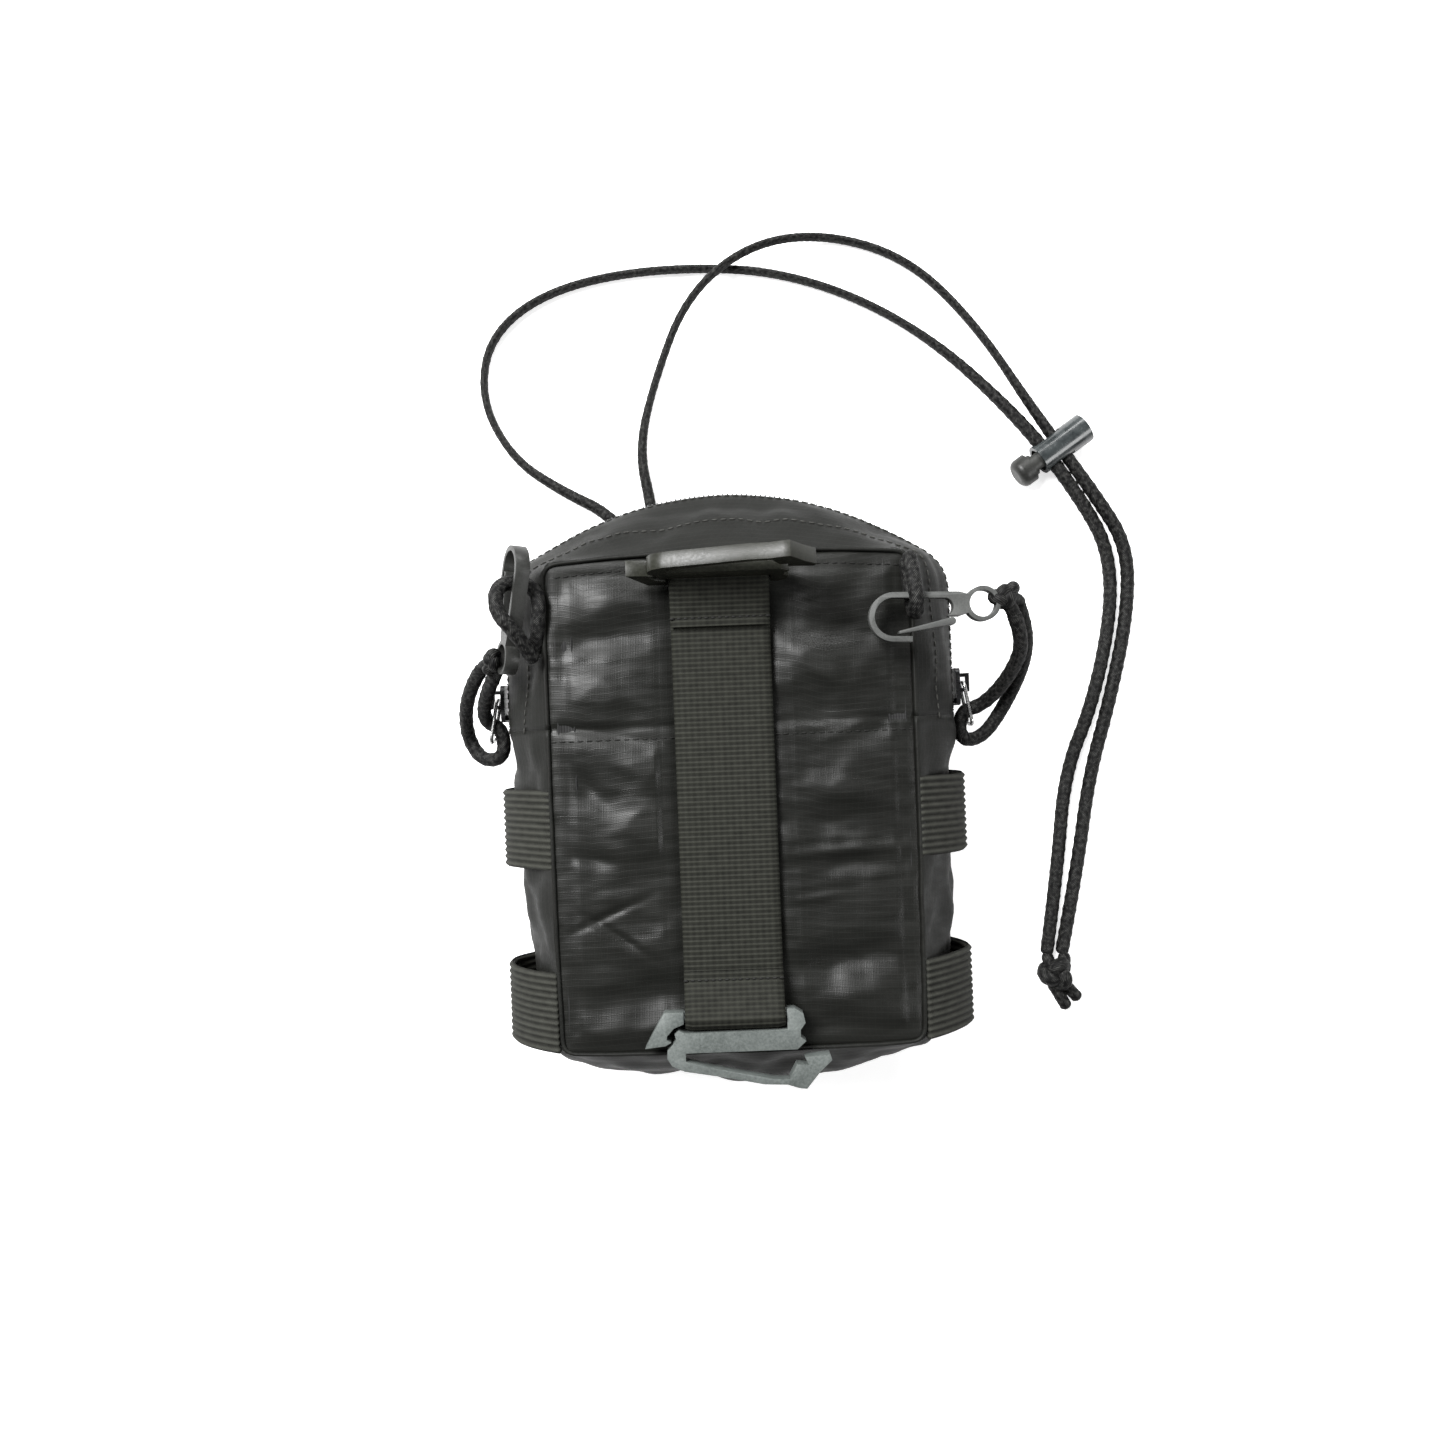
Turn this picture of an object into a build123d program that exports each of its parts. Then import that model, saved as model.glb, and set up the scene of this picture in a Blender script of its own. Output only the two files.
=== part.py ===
"""A small zipped ripstop pouch with strap hooks, clips, elastic side loops and a corded leash.

Millimetres. The pouch lies on its front panel, with its back panel facing up:
+Z is out of the back panel, +Y is towards the pouch's top end and the zip's arch,
and +X is the right-hand side as the back panel is looked at with its top end up.
The origin is the middle of the front panel's outer face.
"""
from build123d import *
from math import cos, pi, radians, sin, tan
import os

# ---------------------------------------------------------------- driving sizes
PANEL_WIDTH = 92.0          # front and back panels
PANEL_HEIGHT = 125.0
DEPTH = 46.0                # front face to back face
WALL = 1.2                  # fabric with its coating and seam allowance
SIDE_BULGE = 14.0           # how far the gussets stand out half way up
TOP_BULGE = 19.5
BOTTOM_BULGE = 13.5
SIDE_TAPER = 8.5            # the filled pouch is narrower at its bottom end
CORNER_TOP = 16.0           # plan radii of the filled gusset
CORNER_BOTTOM = 7.0
PANEL_CORNER = 4.0

SEAM_Y = 20.0               # cross seam where the zip ends
TAPER_Y = 15.0              # the sides run straight above this and taper below it
GUSSET_JOIN_Y = -52.0       # seam between side and bottom gussets
MOUTH_ANGLE = 30.0          # how far the flap opens
FOLD_GAP = 0.4

TAPE = 3.5                  # visible width of one zip tape
CHAIN = 1.4                 # width of one row of zip teeth
CHAIN_GAP = 1.6             # between the rows, where the slider's post runs
CHAIN_OUT = 0.4             # teeth stand proud of the tape
CHAIN_IN = 1.6
BINDING_WIDTH = 5.0
BINDING_THICK = 0.8

SLIDER_LENGTH = 10.0
SLIDER_WIDTH = 7.0
SLIDER_PLATE = 1.1
SLIDER_Y = 27.5
RUN_GAP = 0.3               # between the slider and the chain
POST = 1.0
BAIL_Y = 28.6
BAIL_RISE = 2.0
BAIL_WIRE = 1.0
RING_WIRE = 1.0             # the pull is a bent wire ring
RING_LENGTH = 11.5
RING_INSIDE = 5.0
RING_TILT = 10.0

STRAP_WIDTH = 25.0
STRAP_THICK = 1.6
STRAP_X = -2.0
STRAP_REST = 0.05           # the strap lies this far off the panel
TACK_TOP = 47.0             # bar tacks where the strap's ends are sewn back
TACK_BOTTOM = -44.5
BAR_RADIUS = 1.5            # the hook's bar inside the strap's end loop
BAR_GAP = 0.3
BAR_Y_BOTTOM = -53.0
BAR_Y_TOP = 57.5

HOOK_THICK = 4.0
HOOK_TOP_LEAN = 80.0        # the top hook stands up on edge

ELASTIC_WIDTH = 20.5
ELASTIC_THICK = 1.4
ELASTIC_REACH = 62.4        # outermost x of each elastic loop
ELASTIC_YS = (-5.6, -52.0)

CORD = 3.8                  # leash, pull cords and corner loops
LOCK_CORD_Z = 4.4

CLIP_DEPTH = 3.6
CLIP_BAND = 1.35
CLIP_HOOK_RADIUS = 6.1
CLIP_HOOK_AT = (-22.0, -3.4)
CLIP_RING_RADIUS = 4.35
CLIP_RING_HOLE = 3.3
GATE_PIVOT = (-7.6, -4.35)
GATE_TIP = (-20.7, -7.25)
GATE_ROOT_RADIUS = 0.95

LOCK_AT = (95.2, 94.6)
LOCK_TURN = 34.0
LOCK_RADIUS = 4.3
LOCK_BACK = 5.2             # barrel from here behind the cord hole
LOCK_FRONT = 10.8           # to here in front of it
LOCK_HOLE_LENGTH = 8.4
LOCK_HOLE_HEIGHT = 4.3
LOCK_WALL = 1.0
LOCK_FLOOR = 1.4
PLUNGER_GAP = 0.15
PLUNGER_TRAVEL = 3.0
HEAD_LENGTH = 4.6

HALF_DEPTH = DEPTH / 2
ZIP_Z = HALF_DEPTH
HINGE_Y = SEAM_Y + FOLD_GAP / 2
SIDE_X = PANEL_WIDTH / 2 + SIDE_BULGE
BAR_Z = DEPTH + STRAP_REST + STRAP_THICK + BAR_GAP + BAR_RADIUS
BIG = 400.0


# ---------------------------------------------------------------- small helpers
def block(x0, x1, y0, y1, z0, z1):
    """An axis-aligned box between two corners."""
    size = (x1 - x0, y1 - y0, z1 - z0)
    centre = ((x0 + x1) / 2, (y0 + y1) / 2, (z0 + z1) / 2)
    return Pos(*centre) * Box(*size)


def between_z(low, high):
    return block(-BIG, BIG, -BIG, BIG, low, high)


def yz_prism(points, x0, x1):
    """A prism along X from an outline given as (y, z) points."""
    face = Plane.YZ * make_face(Polyline(*points, close=True))
    return Pos(x0, 0, 0) * extrude(face, x1 - x0, dir=(1, 0, 0))


def mirrored(solid, side):
    """The solid itself on the right side (+1), or its mirror image on the left (-1)."""
    return solid if side > 0 else solid.mirror(Plane.YZ)


def arc_radii(points):
    """Bend radii for a cord's route: as large as the two runs at each point allow."""
    spots = [Vector(*p) for p in points]
    radii = []
    for before, here, after in zip(spots, spots[1:], spots[2:]):
        back, on = here - before, after - here
        half_turn = radians(back.get_angle(on)) / 2
        radii.append(0.45 * min(back.length, on.length) / tan(half_turn))
    return radii


def cord_tube(name, points, diameter=CORD):
    """A round tube along straight runs joined by tangent arcs."""
    radii = arc_radii(points)
    path = FilletPolyline(*points, radius=radii)
    tube = sweep(Plane(origin=path @ 0, z_dir=path % 0) * Circle(diameter / 2), path=path)
    expected = pi * diameter ** 2 / 4 * path.length
    print(f"{name}: {path.length:.0f} mm long, least radius {min(radii):.1f} mm, "
          f"volume / (section x length) = {tube.volume / expected:.4f}")
    return tube


# ---------------------------------------------------------------- pouch shell
def outline(bulge, inset=0.0):
    """Plan outline of the pouch, from a flat panel (bulge 0) to the full gusset (bulge 1)."""
    half_width = PANEL_WIDTH / 2 + SIDE_BULGE * bulge - inset
    top_corner = PANEL_HEIGHT / 2 - 2.5 * bulge - inset
    top_middle = PANEL_HEIGHT / 2 + TOP_BULGE * bulge - inset
    bottom_half = half_width - SIDE_TAPER * bulge
    bottom_corner = PANEL_HEIGHT / 2 + 0.4 * BOTTOM_BULGE * bulge - inset
    bottom_middle = PANEL_HEIGHT / 2 + BOTTOM_BULGE * bulge - inset
    sag = 0.25 * SIDE_TAPER * bulge + 0.01
    mid_y = (TAPER_Y - bottom_corner) / 2
    edges = [
        ThreePointArc((-half_width, top_corner), (0, top_middle + 0.01), (half_width, top_corner)),
        Line((half_width, top_corner), (half_width, TAPER_Y)),
        ThreePointArc((half_width, TAPER_Y), (half_width - sag, mid_y), (bottom_half, -bottom_corner)),
        ThreePointArc((bottom_half, -bottom_corner), (0, -bottom_middle - 0.01),
                      (-bottom_half, -bottom_corner)),
        ThreePointArc((-bottom_half, -bottom_corner), (sag - half_width, mid_y), (-half_width, TAPER_Y)),
        Line((-half_width, TAPER_Y), (-half_width, top_corner)),
    ]
    face = make_face(edges)
    top_radius = PANEL_CORNER + (CORNER_TOP - PANEL_CORNER) * bulge - inset
    bottom_radius = PANEL_CORNER + (CORNER_BOTTOM - PANEL_CORNER) * bulge - inset
    tops = [v for v in face.vertices() if abs(v.Y - top_corner) < 0.1]
    face = fillet(tops, top_radius)
    bottoms = [v for v in face.vertices() if abs(v.Y + bottom_corner) < 0.1]
    return fillet(bottoms, bottom_radius)


def shell_body(inset, low, high):
    """A solid pillow between two heights, lofted through the full outline half way up."""
    def bulge_at(z):
        return 1 - ((z - HALF_DEPTH) / HALF_DEPTH) ** 2
    steps = 4
    heights = [low + (high - low) * i / steps for i in range(steps + 1)]
    return loft([Pos(0, 0, z) * outline(bulge_at(z), inset) for z in heights])


def chain_band(low, high):
    """A band that follows the filled outline, as wide as the zip's teeth."""
    ring = outline(1.0, -CHAIN_OUT) - outline(1.0, CHAIN_IN)
    return Pos(0, 0, low) * extrude(ring, high - low)


def binding_ring(z):
    """Binding tape laid flat along a panel's seam, inside the pouch."""
    width, height = PANEL_WIDTH - 2 * WALL - 0.4, PANEL_HEIGHT - 2 * WALL - 0.4
    ring = RectangleRounded(width, height, PANEL_CORNER - WALL)
    ring = ring - Rectangle(width - 2 * BINDING_WIDTH, height - 2 * BINDING_WIDTH)
    return Pos(0, 0, z) * extrude(ring, BINDING_THICK)


OUTER = shell_body(0.0, 0.0, DEPTH)
SHELL = OUTER - shell_body(WALL, WALL, DEPTH - WALL)
SLOPE = tan(radians(MOUTH_ANGLE))
ABOVE_SEAM = block(-BIG, BIG, SEAM_Y, BIG, -BIG, BIG)
BELOW_SEAM = block(-BIG, BIG, -BIG, SEAM_Y, -BIG, BIG)


def flap_side(gap):
    """Everything on the flap's side of the sloping cut that lets the flap swing up."""
    y = HINGE_Y + gap
    points = [(y, ZIP_Z), (y + BIG * SLOPE, ZIP_Z + BIG), (BIG, ZIP_Z + BIG), (BIG, ZIP_Z)]
    return yz_prism(points, -BIG, BIG)


FLAP_SIDE = flap_side(FOLD_GAP / 2)
FOLD_ZONE = (ABOVE_SEAM & between_z(ZIP_Z, BIG)) - flap_side(FOLD_GAP / 4)


def pouch_nodes():
    """Panels, gussets, zip rows and inside bindings."""
    gusset = SHELL & between_z(WALL, DEPTH - WALL)
    back = SHELL & between_z(DEPTH - WALL, BIG)
    boot = gusset & BELOW_SEAM
    low_row = ZIP_Z - CHAIN_GAP / 2
    high_row = ZIP_Z + CHAIN_GAP / 2
    sides = block(-BIG, BIG, GUSSET_JOIN_Y, BIG, -BIG, BIG)
    right = block(0, BIG, -BIG, BIG, -BIG, BIG)
    left = block(-BIG, 0, -BIG, BIG, -BIG, BIG)
    zip_side = gusset & ABOVE_SEAM
    back_z = high_row + CHAIN + TAPE
    binding_back = binding_ring(DEPTH - WALL - BINDING_THICK)
    return {
        "front_panel": SHELL & between_z(-1, WALL),
        "seam_binding_front": binding_ring(WALL),
        "bottom_gusset": boot - sides,
        "side_gusset_right": boot & sides & right,
        "side_gusset_left": boot & sides & left,
        "back_panel_lower": back & BELOW_SEAM,
        "seam_binding_back_lower": binding_back & BELOW_SEAM,
        "back_fold": (back + (gusset & between_z(ZIP_Z + CHAIN_GAP, BIG))) & FOLD_ZONE,
        "zip_gusset_front": zip_side & between_z(-1, low_row - CHAIN - TAPE),
        "zip_tape_front": zip_side & between_z(low_row - CHAIN - TAPE, low_row - CHAIN),
        "zip_teeth_front": chain_band(low_row - CHAIN, low_row) & ABOVE_SEAM,
        "zip_teeth_back": chain_band(high_row, high_row + CHAIN) & FLAP_SIDE,
        "zip_tape_back": zip_side & between_z(high_row + CHAIN, back_z) & FLAP_SIDE,
        "zip_gusset_back": zip_side & between_z(back_z, BIG) & FLAP_SIDE,
        "back_panel_upper": back & FLAP_SIDE,
        "seam_binding_back_upper": binding_back & FLAP_SIDE,
    }


# ---------------------------------------------------------------- strap and its hooks
def strap_end(tack_y, bar_y):
    """The strap's end loop: out to the bar, round it, and back to the bar tack."""
    inner = BAR_RADIUS + BAR_GAP
    outer = inner + STRAP_THICK
    base = DEPTH + STRAP_REST
    away = 1 if bar_y > tack_y else -1
    wrap = Pos(0, bar_y, BAR_Z) * Rot(0, 90, 0) * Cylinder(outer, STRAP_WIDTH)
    lower = [(tack_y, base), (bar_y, base), (bar_y, BAR_Z + outer), (tack_y, base + 2 * STRAP_THICK)]
    solid = wrap + yz_prism(lower, -STRAP_WIDTH / 2, STRAP_WIDTH / 2)
    hole = Pos(0, bar_y, BAR_Z) * Rot(0, 90, 0) * Cylinder(inner, STRAP_WIDTH + 2)
    pocket = [(bar_y, BAR_Z - inner), (bar_y, BAR_Z + inner),
              (tack_y + 1.5 * away, base + STRAP_THICK + 0.2), (tack_y + 1.5 * away, base + STRAP_THICK)]
    return solid - hole - yz_prism(pocket, -STRAP_WIDTH, STRAP_WIDTH)


def strap_nodes():
    """The webbing strap down the back, cut where the flap folds."""
    base = DEPTH + STRAP_REST
    half = STRAP_WIDTH / 2
    run = block(-half, half, TACK_BOTTOM, TACK_TOP, base, base + STRAP_THICK)
    strap = run + strap_end(TACK_TOP, BAR_Y_TOP) + strap_end(TACK_BOTTOM, BAR_Y_BOTTOM)
    strap = Pos(STRAP_X, 0, 0) * strap
    return {
        "strap_lower": strap & BELOW_SEAM,
        "strap_fold": strap & FOLD_ZONE,
        "strap_upper": strap & FLAP_SIDE,
    }


def polygon(*points):
    return make_face(Polyline(*points, close=True))


def hook_plate():
    """An S-shaped strap hook lying flat, its bar on the X axis and its arms towards -Y."""
    bar = Rot(0, 90, 0) * Cylinder(BAR_RADIUS, 27)
    centre_bar = Pos(0.2, -6.2) * Rectangle(27, 5)
    left_barb = polygon((-17.7, 1.5), (-12.9, 1.5), (-12.9, -1.4), (-15.4, -2.4), (-17.2, -4.3),
                        (-17.3, -5.2), (-16.2, -5.9), (-17.7, -6.7), (-22.7, -7.2), (-20.9, -3.9))
    right_post = polygon((12.9, 1.5), (14.8, 1.5), (16.9, 0.2), (17.4, -2.2), (16.1, -3.9),
                         (16.1, -5.7), (17.4, -6.7), (15.2, -8.7), (12.9, -8.7))
    left_post = polygon((-12.7, -3.7), (-14.2, -3.0), (-15.3, -3.9), (-14.9, -5.2), (-15.9, -6.6),
                        (-17.2, -7.9), (-17.3, -9.9), (-16.2, -11.7), (-12.7, -10.9))
    arm = polygon((-16.2, -11.7), (-12.7, -10.8), (-6.5, -12.5), (9.0, -15.9), (13.4, -16.1),
                  (15.4, -18.4), (12.4, -17.4), (6.7, -17.1), (-3.7, -14.9), (-13.2, -13.2))
    right_barb = polygon((13.0, -15.8), (14.9, -12.4), (17.9, -12.7), (16.9, -10.7), (23.2, -10.2),
                         (23.7, -11.7), (20.7, -14.4), (17.2, -18.6), (15.4, -18.4))
    plate = centre_bar + left_barb + right_post + left_post + arm + right_barb
    return extrude(plate, HOOK_THICK / 2, both=True) + bar


def hook_nodes():
    """The bottom hook lies flat, the top one stands on edge in its loop."""
    bottom = Pos(STRAP_X, BAR_Y_BOTTOM, BAR_Z) * hook_plate()
    top = Pos(STRAP_X, BAR_Y_TOP, BAR_Z) * Rot(180 + HOOK_TOP_LEAN, 0, 0) * hook_plate()
    return {"hook_bottom": bottom, "hook_top": top}


# ---------------------------------------------------------------- elastic side loops
def elastic_nodes():
    """Ribbed elastic bands sewn over the side gussets."""
    reach = ELASTIC_REACH
    foot_x = PANEL_WIDTH / 2 + 0.6
    nodes = {}
    for place, y in zip(("upper", "lower"), ELASTIC_YS):
        outer = ThreePointArc((foot_x, DEPTH - 1), (reach, HALF_DEPTH), (foot_x, 1))
        inner = ThreePointArc((foot_x, 1 + ELASTIC_THICK), (reach - ELASTIC_THICK, HALF_DEPTH),
                              (foot_x, DEPTH - 1 - ELASTIC_THICK))
        ends = [Line(outer @ 1, inner @ 0), Line(inner @ 1, outer @ 0)]
        section = Plane.XZ * make_face([outer, inner] + ends)
        band = Pos(0, y + ELASTIC_WIDTH / 2, 0) * extrude(section, ELASTIC_WIDTH)
        band = band - OUTER
        for side, word in ((1, "right"), (-1, "left")):
            nodes[f"elastic_loop_{place}_{word}"] = mirrored(band, side)
    return nodes


# ---------------------------------------------------------------- sliders and pulls
def slider():
    """A zip slider on the right-hand row: two plates, the post between them, and the bail."""
    outer_x = SIDE_X + CHAIN_OUT + RUN_GAP
    inner_x = SIDE_X - CHAIN_IN - RUN_GAP
    half_y, half_z = SLIDER_LENGTH / 2, SLIDER_WIDTH / 2
    y0, y1 = SLIDER_Y - half_y, SLIDER_Y + half_y
    outer = block(outer_x, outer_x + SLIDER_PLATE, y0, y1, ZIP_Z - half_z, ZIP_Z + half_z)
    inner = block(inner_x - SLIDER_PLATE, inner_x, y0, y1, ZIP_Z - half_z, ZIP_Z + half_z)
    outer = fillet(outer.edges().filter_by(Axis.X), 1.5)
    inner = fillet(inner.edges().filter_by(Axis.X), 1.5)
    post = block(inner_x, outer_x, y0 + 0.5, y0 + 2.0, ZIP_Z - POST / 2, ZIP_Z + POST / 2)
    top = outer_x + SLIDER_PLATE
    half = BAIL_WIRE / 2
    bar_x = top + BAIL_RISE
    bail = block(top, bar_x + BAIL_WIRE, BAIL_Y - 2.5, BAIL_Y + 2.5, ZIP_Z - half, ZIP_Z + half)
    room = block(top, bar_x, BAIL_Y - 2.5 + BAIL_WIRE, BAIL_Y + 2.5 - BAIL_WIRE, 0, DEPTH)
    return outer + inner + post + (bail - room)


def pull_pivot():
    """Where the pull ring's top wire sits under the bail."""
    x = SIDE_X + CHAIN_OUT + RUN_GAP + SLIDER_PLATE + BAIL_RISE / 2
    return (x, BAIL_Y, ZIP_Z)


def pull_ring():
    """A bent wire ring hanging from the bail, tilted out at its lower end."""
    half = (RING_INSIDE + RING_WIRE) / 2
    corner = 1.4
    loop = Rectangle(2 * half, RING_LENGTH)
    loop = fillet(loop.vertices(), corner)
    path = loop.face().outer_wire()
    start = path.edges().sort_by(SortBy.LENGTH)[-1]
    frame = Plane(origin=start @ 0.5, z_dir=start % 0.5)
    ring = sweep(frame * Circle(RING_WIRE / 2), path=path)
    hung = Pos(0, -RING_LENGTH / 2, 0) * ring
    turned = Rot(0, 90, 0) * hung
    return Pos(*pull_pivot()) * Rot(0, 0, RING_TILT) * turned


# ---------------------------------------------------------------- clips
def clip_body():
    """A flat clip without its gate, in its own plane: ring at the origin, hook end towards -X."""
    cx, cy = CLIP_HOOK_AT
    r = CLIP_HOOK_RADIUS
    hook = Pos(cx, cy) * (Circle(r) - Circle(r - CLIP_BAND))
    hook = hook - Pos(cx + r, cy) * Rectangle(2 * r, 4 * r)
    top = cy + r
    arm = polygon((cx, top), (-6.5, top + 0.2), (-6.5, top - CLIP_BAND), (cx, top - CLIP_BAND))
    nose = Pos(cx + 2.3, cy - r + CLIP_BAND / 2) * Rectangle(4.6, CLIP_BAND)
    neck = polygon((-9.5, top), (-6.0, top + 0.2), (-3.2, 2.2), (-3.2, -2.2), (-5.6, -3.1), (-9.5, -3.1))
    neck = neck - Pos(-9.6, -0.9) * Circle(2.3) - Pos(-11, -0.9) * Rectangle(3, 4.6)
    ring = Circle(CLIP_RING_RADIUS)
    flat = hook + arm + nose + neck + ring - Circle(CLIP_RING_HOLE)
    return extrude(flat, CLIP_DEPTH / 2, both=True)


def clip_gate():
    """The clip's sprung gate, from its pivot at the neck to its tip inside the nose."""
    (px, py), (tx, ty) = GATE_PIVOT, GATE_TIP
    blade = polygon((px, py + GATE_ROOT_RADIUS), (tx, ty + 0.4), (tx, ty - 0.4), (px, py - GATE_ROOT_RADIUS))
    flat = blade + Pos(px, py) * Circle(GATE_ROOT_RADIUS)
    return extrude(flat, CLIP_DEPTH / 2 - 0.1, both=True)


CLIP_RIGHT = Location((63.0, 47.2, 52.2)) * Rot(0, 0, -2.2)
CLIP_LEFT_X = Vector(-0.216, -0.935, -0.28)
CLIP_LEFT_Y = Vector(0.44, -0.1, 0.9)
CLIP_LEFT = Plane(origin=(-56.3, 38.8, 44.4), x_dir=CLIP_LEFT_X,
                  z_dir=CLIP_LEFT_X.cross(CLIP_LEFT_Y)).location

CORNER_LOOP_RIGHT = [(45.2, 60.0, 48.1), (46.4, 45.7, 48.2), (46.4, 45.7, 56.6),
                     (46.0, 53.2, 56.5), (45.3, 60.4, 52.4)]
CORNER_LOOP_LEFT = [(-49.1, 37.5, 46.9), (-52.6, 44.2, 52.1), (-57.8, 49.9, 53.1), (-57.2, 57.6, 50.2),
                    (-48.2, 57.0, 46.3), (-47.4, 47.8, 46.8), (-49.8, 39.8, 43.4)]

PULL_CORD_RIGHT = [(71.2, 45.2, 49.4), (75.0, 38.4, 45.5), (73.6, 30.0, 35.0), (68.6, 22.4, 23.8),
                   (61.9, 20.7, 23.2), (61.9, 12.8, 22.4), (68.6, 13.4, 20.0), (74.4, 22.0, 22.6),
                   (77.4, 32.8, 34.0), (76.6, 41.6, 41.6), (73.2, 47.6, 46.6)]
PULL_CORD_LEFT = [(-60.2, 35.4, 39.8), (-64.4, 30.0, 33.6), (-67.0, 23.0, 23.9), (-61.9, 20.9, 23.2),
                  (-61.9, 12.8, 22.4), (-68.4, 12.2, 19.8), (-72.4, 18.4, 18.6), (-71.4, 26.6, 26.2),
                  (-67.2, 34.0, 33.8), (-64.2, 36.8, 37.0)]

KNOT_RIGHT = (68.4, 48.8, 51.2)
KNOT_LEFT = (-60.6, 38.6, 41.6)


def rounded_lump(size, at, radius):
    """A knot's outer shape, as a rounded block."""
    lump = Box(*size)
    return Pos(*at) * fillet(lump.edges(), radius)


def clip_nodes():
    """Both clips, their gates, the corner loops that they hook, and the pull cords tied to them."""
    right = CLIP_RIGHT * clip_body()
    left = CLIP_LEFT * clip_body()
    knot_right = rounded_lump((7.0, 6.5, 7.5), KNOT_RIGHT, 2.2) - right
    knot_left = rounded_lump((4.6, 6.6, 6.6), KNOT_LEFT, 1.9) - left
    cord_right = cord_tube("pull_cord_right", PULL_CORD_RIGHT)
    cord_left = cord_tube("pull_cord_left", PULL_CORD_LEFT)
    return {
        "clip_right": right,
        "clip_left": left,
        "clip_gate_right": CLIP_RIGHT * clip_gate(),
        "clip_gate_left": CLIP_LEFT * clip_gate(),
        "corner_loop_right": cord_tube("corner_loop_right", CORNER_LOOP_RIGHT),
        "corner_loop_left": cord_tube("corner_loop_left", CORNER_LOOP_LEFT) - OUTER,
        "pull_cord_right": cord_right,
        "pull_cord_left": cord_left,
        "pull_knot_right": knot_right - cord_right,
        "pull_knot_left": knot_left - cord_left,
    }


# ---------------------------------------------------------------- leash and cord lock
LOCK_U = (cos(radians(LOCK_TURN)), sin(radians(LOCK_TURN)))
LOCK_N = (-LOCK_U[1], LOCK_U[0])
STRAND_STEP = CORD / 2 + 0.1


def at_lock(along, side):
    """A leash point by the cord lock: along the strands' way through it, left (-1) or right (1)."""
    x = LOCK_AT[0] + LOCK_N[0] * along + LOCK_U[0] * STRAND_STEP * side
    y = LOCK_AT[1] + LOCK_N[1] * along + LOCK_U[1] * STRAND_STEP * side
    return (x, y, LOCK_CORD_Z)


LEASH_LEFT = [(-25, 71, 2.1), (-31.5, 81, 2), (-46, 88.5, 2), (-60, 98.5, 2), (-68.5, 116, 2),
              (-65, 134.5, 2), (-47, 147, 2), (-16, 152, 2), (22, 149.5, 2), (58, 132.5, 2),
              at_lock(11, -1), at_lock(-17, -1),
              (110.5, 66, 2), (110.8, 48, 2), (104.5, 22, 2), (95.5, 2, 2), (92.3, -26, 2), (88.3, -50, 2)]
LEASH_RIGHT = [(-19, 71, 2.1), (-20.5, 83, 2), (-23.5, 100, 2), (-18, 120, 2), (-8, 142, 6.2),
               (10, 156, 6.2), (32, 160, 2), (56, 152, 2), (75, 132, 2),
               at_lock(11, 1), at_lock(-17, 1),
               (116, 67, 2), (115.5, 48, 2), (109.5, 23, 2), (102.5, 1, 2), (98, -26, 2), (92.6, -50, 2)]


def leash_nodes():
    """The leash cord's two strands, the tab they are sewn into, and the stopper knot."""
    left = cord_tube("leash_strand_left", LEASH_LEFT)
    right = cord_tube("leash_strand_right", LEASH_RIGHT)
    tab = block(-29.5, -14.5, PANEL_HEIGHT / 2 - 2, 71, 0.1, 4.0) - OUTER
    knot = rounded_lump((11.0, 10.5, 7.6), (90.4, -55.3, 3.9), 3.0)
    tail = polygon((-2.6, 0), (2.6, 0), (3.5, -9.5), (-3.5, -9.5))
    tail = Pos(90.8, -59.4, 0.2) * Rot(0, 0, 36) * extrude(tail, 3.4)
    return {
        "leash_tab": tab - left - right,
        "leash_strand_left": left,
        "leash_strand_right": right,
        "leash_knot": knot + tail - left - right,
    }


def along_lock(radius, start, end):
    """A cylinder on the cord lock's axis, measured from the cord hole."""
    rod = Pos((start + end) / 2, 0, 0) * Rot(0, 90, 0) * Cylinder(radius, end - start)
    return Pos(*LOCK_AT, LOCK_CORD_Z) * Rot(0, 0, LOCK_TURN) * rod


def lock_slot(length, height):
    """The slot that the two strands run through."""
    return Pos(*LOCK_AT, LOCK_CORD_Z) * Rot(0, 0, LOCK_TURN) * Box(length, 60, height)


def lock_nodes():
    """The cord lock's barrel, the plunger that grips the strands, and its spring."""
    bore = LOCK_RADIUS - LOCK_WALL
    floor = LOCK_FRONT - LOCK_FLOOR
    stem = bore - PLUNGER_GAP
    stem_end = LOCK_HOLE_LENGTH / 2 + 0.4
    slot = lock_slot(LOCK_HOLE_LENGTH, LOCK_HOLE_HEIGHT)
    barrel = along_lock(LOCK_RADIUS, -LOCK_BACK, LOCK_FRONT) - along_lock(bore, -LOCK_BACK - 1, floor)
    head_end = -LOCK_BACK - PLUNGER_TRAVEL - 0.3
    plunger = along_lock(stem, head_end, stem_end)
    head = along_lock(LOCK_RADIUS - 0.1, head_end - HEAD_LENGTH, head_end)
    head = fillet(head.edges().sort_by(Axis.X)[0], 2.0)
    grip = LOCK_HOLE_LENGTH + PLUNGER_TRAVEL
    plunger_slot = Pos(-PLUNGER_TRAVEL / 2 * LOCK_U[0], -PLUNGER_TRAVEL / 2 * LOCK_U[1], 0)
    plunger_slot = plunger_slot * lock_slot(grip, LOCK_HOLE_HEIGHT)
    spring = along_lock(bore - 0.5, stem_end + 0.1, floor) - along_lock(bore - 1.2, stem_end, floor + 1)
    return {
        "lock_barrel": barrel - slot,
        "lock_plunger": (plunger - plunger_slot) + head,
        "lock_spring": spring,
    }


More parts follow.
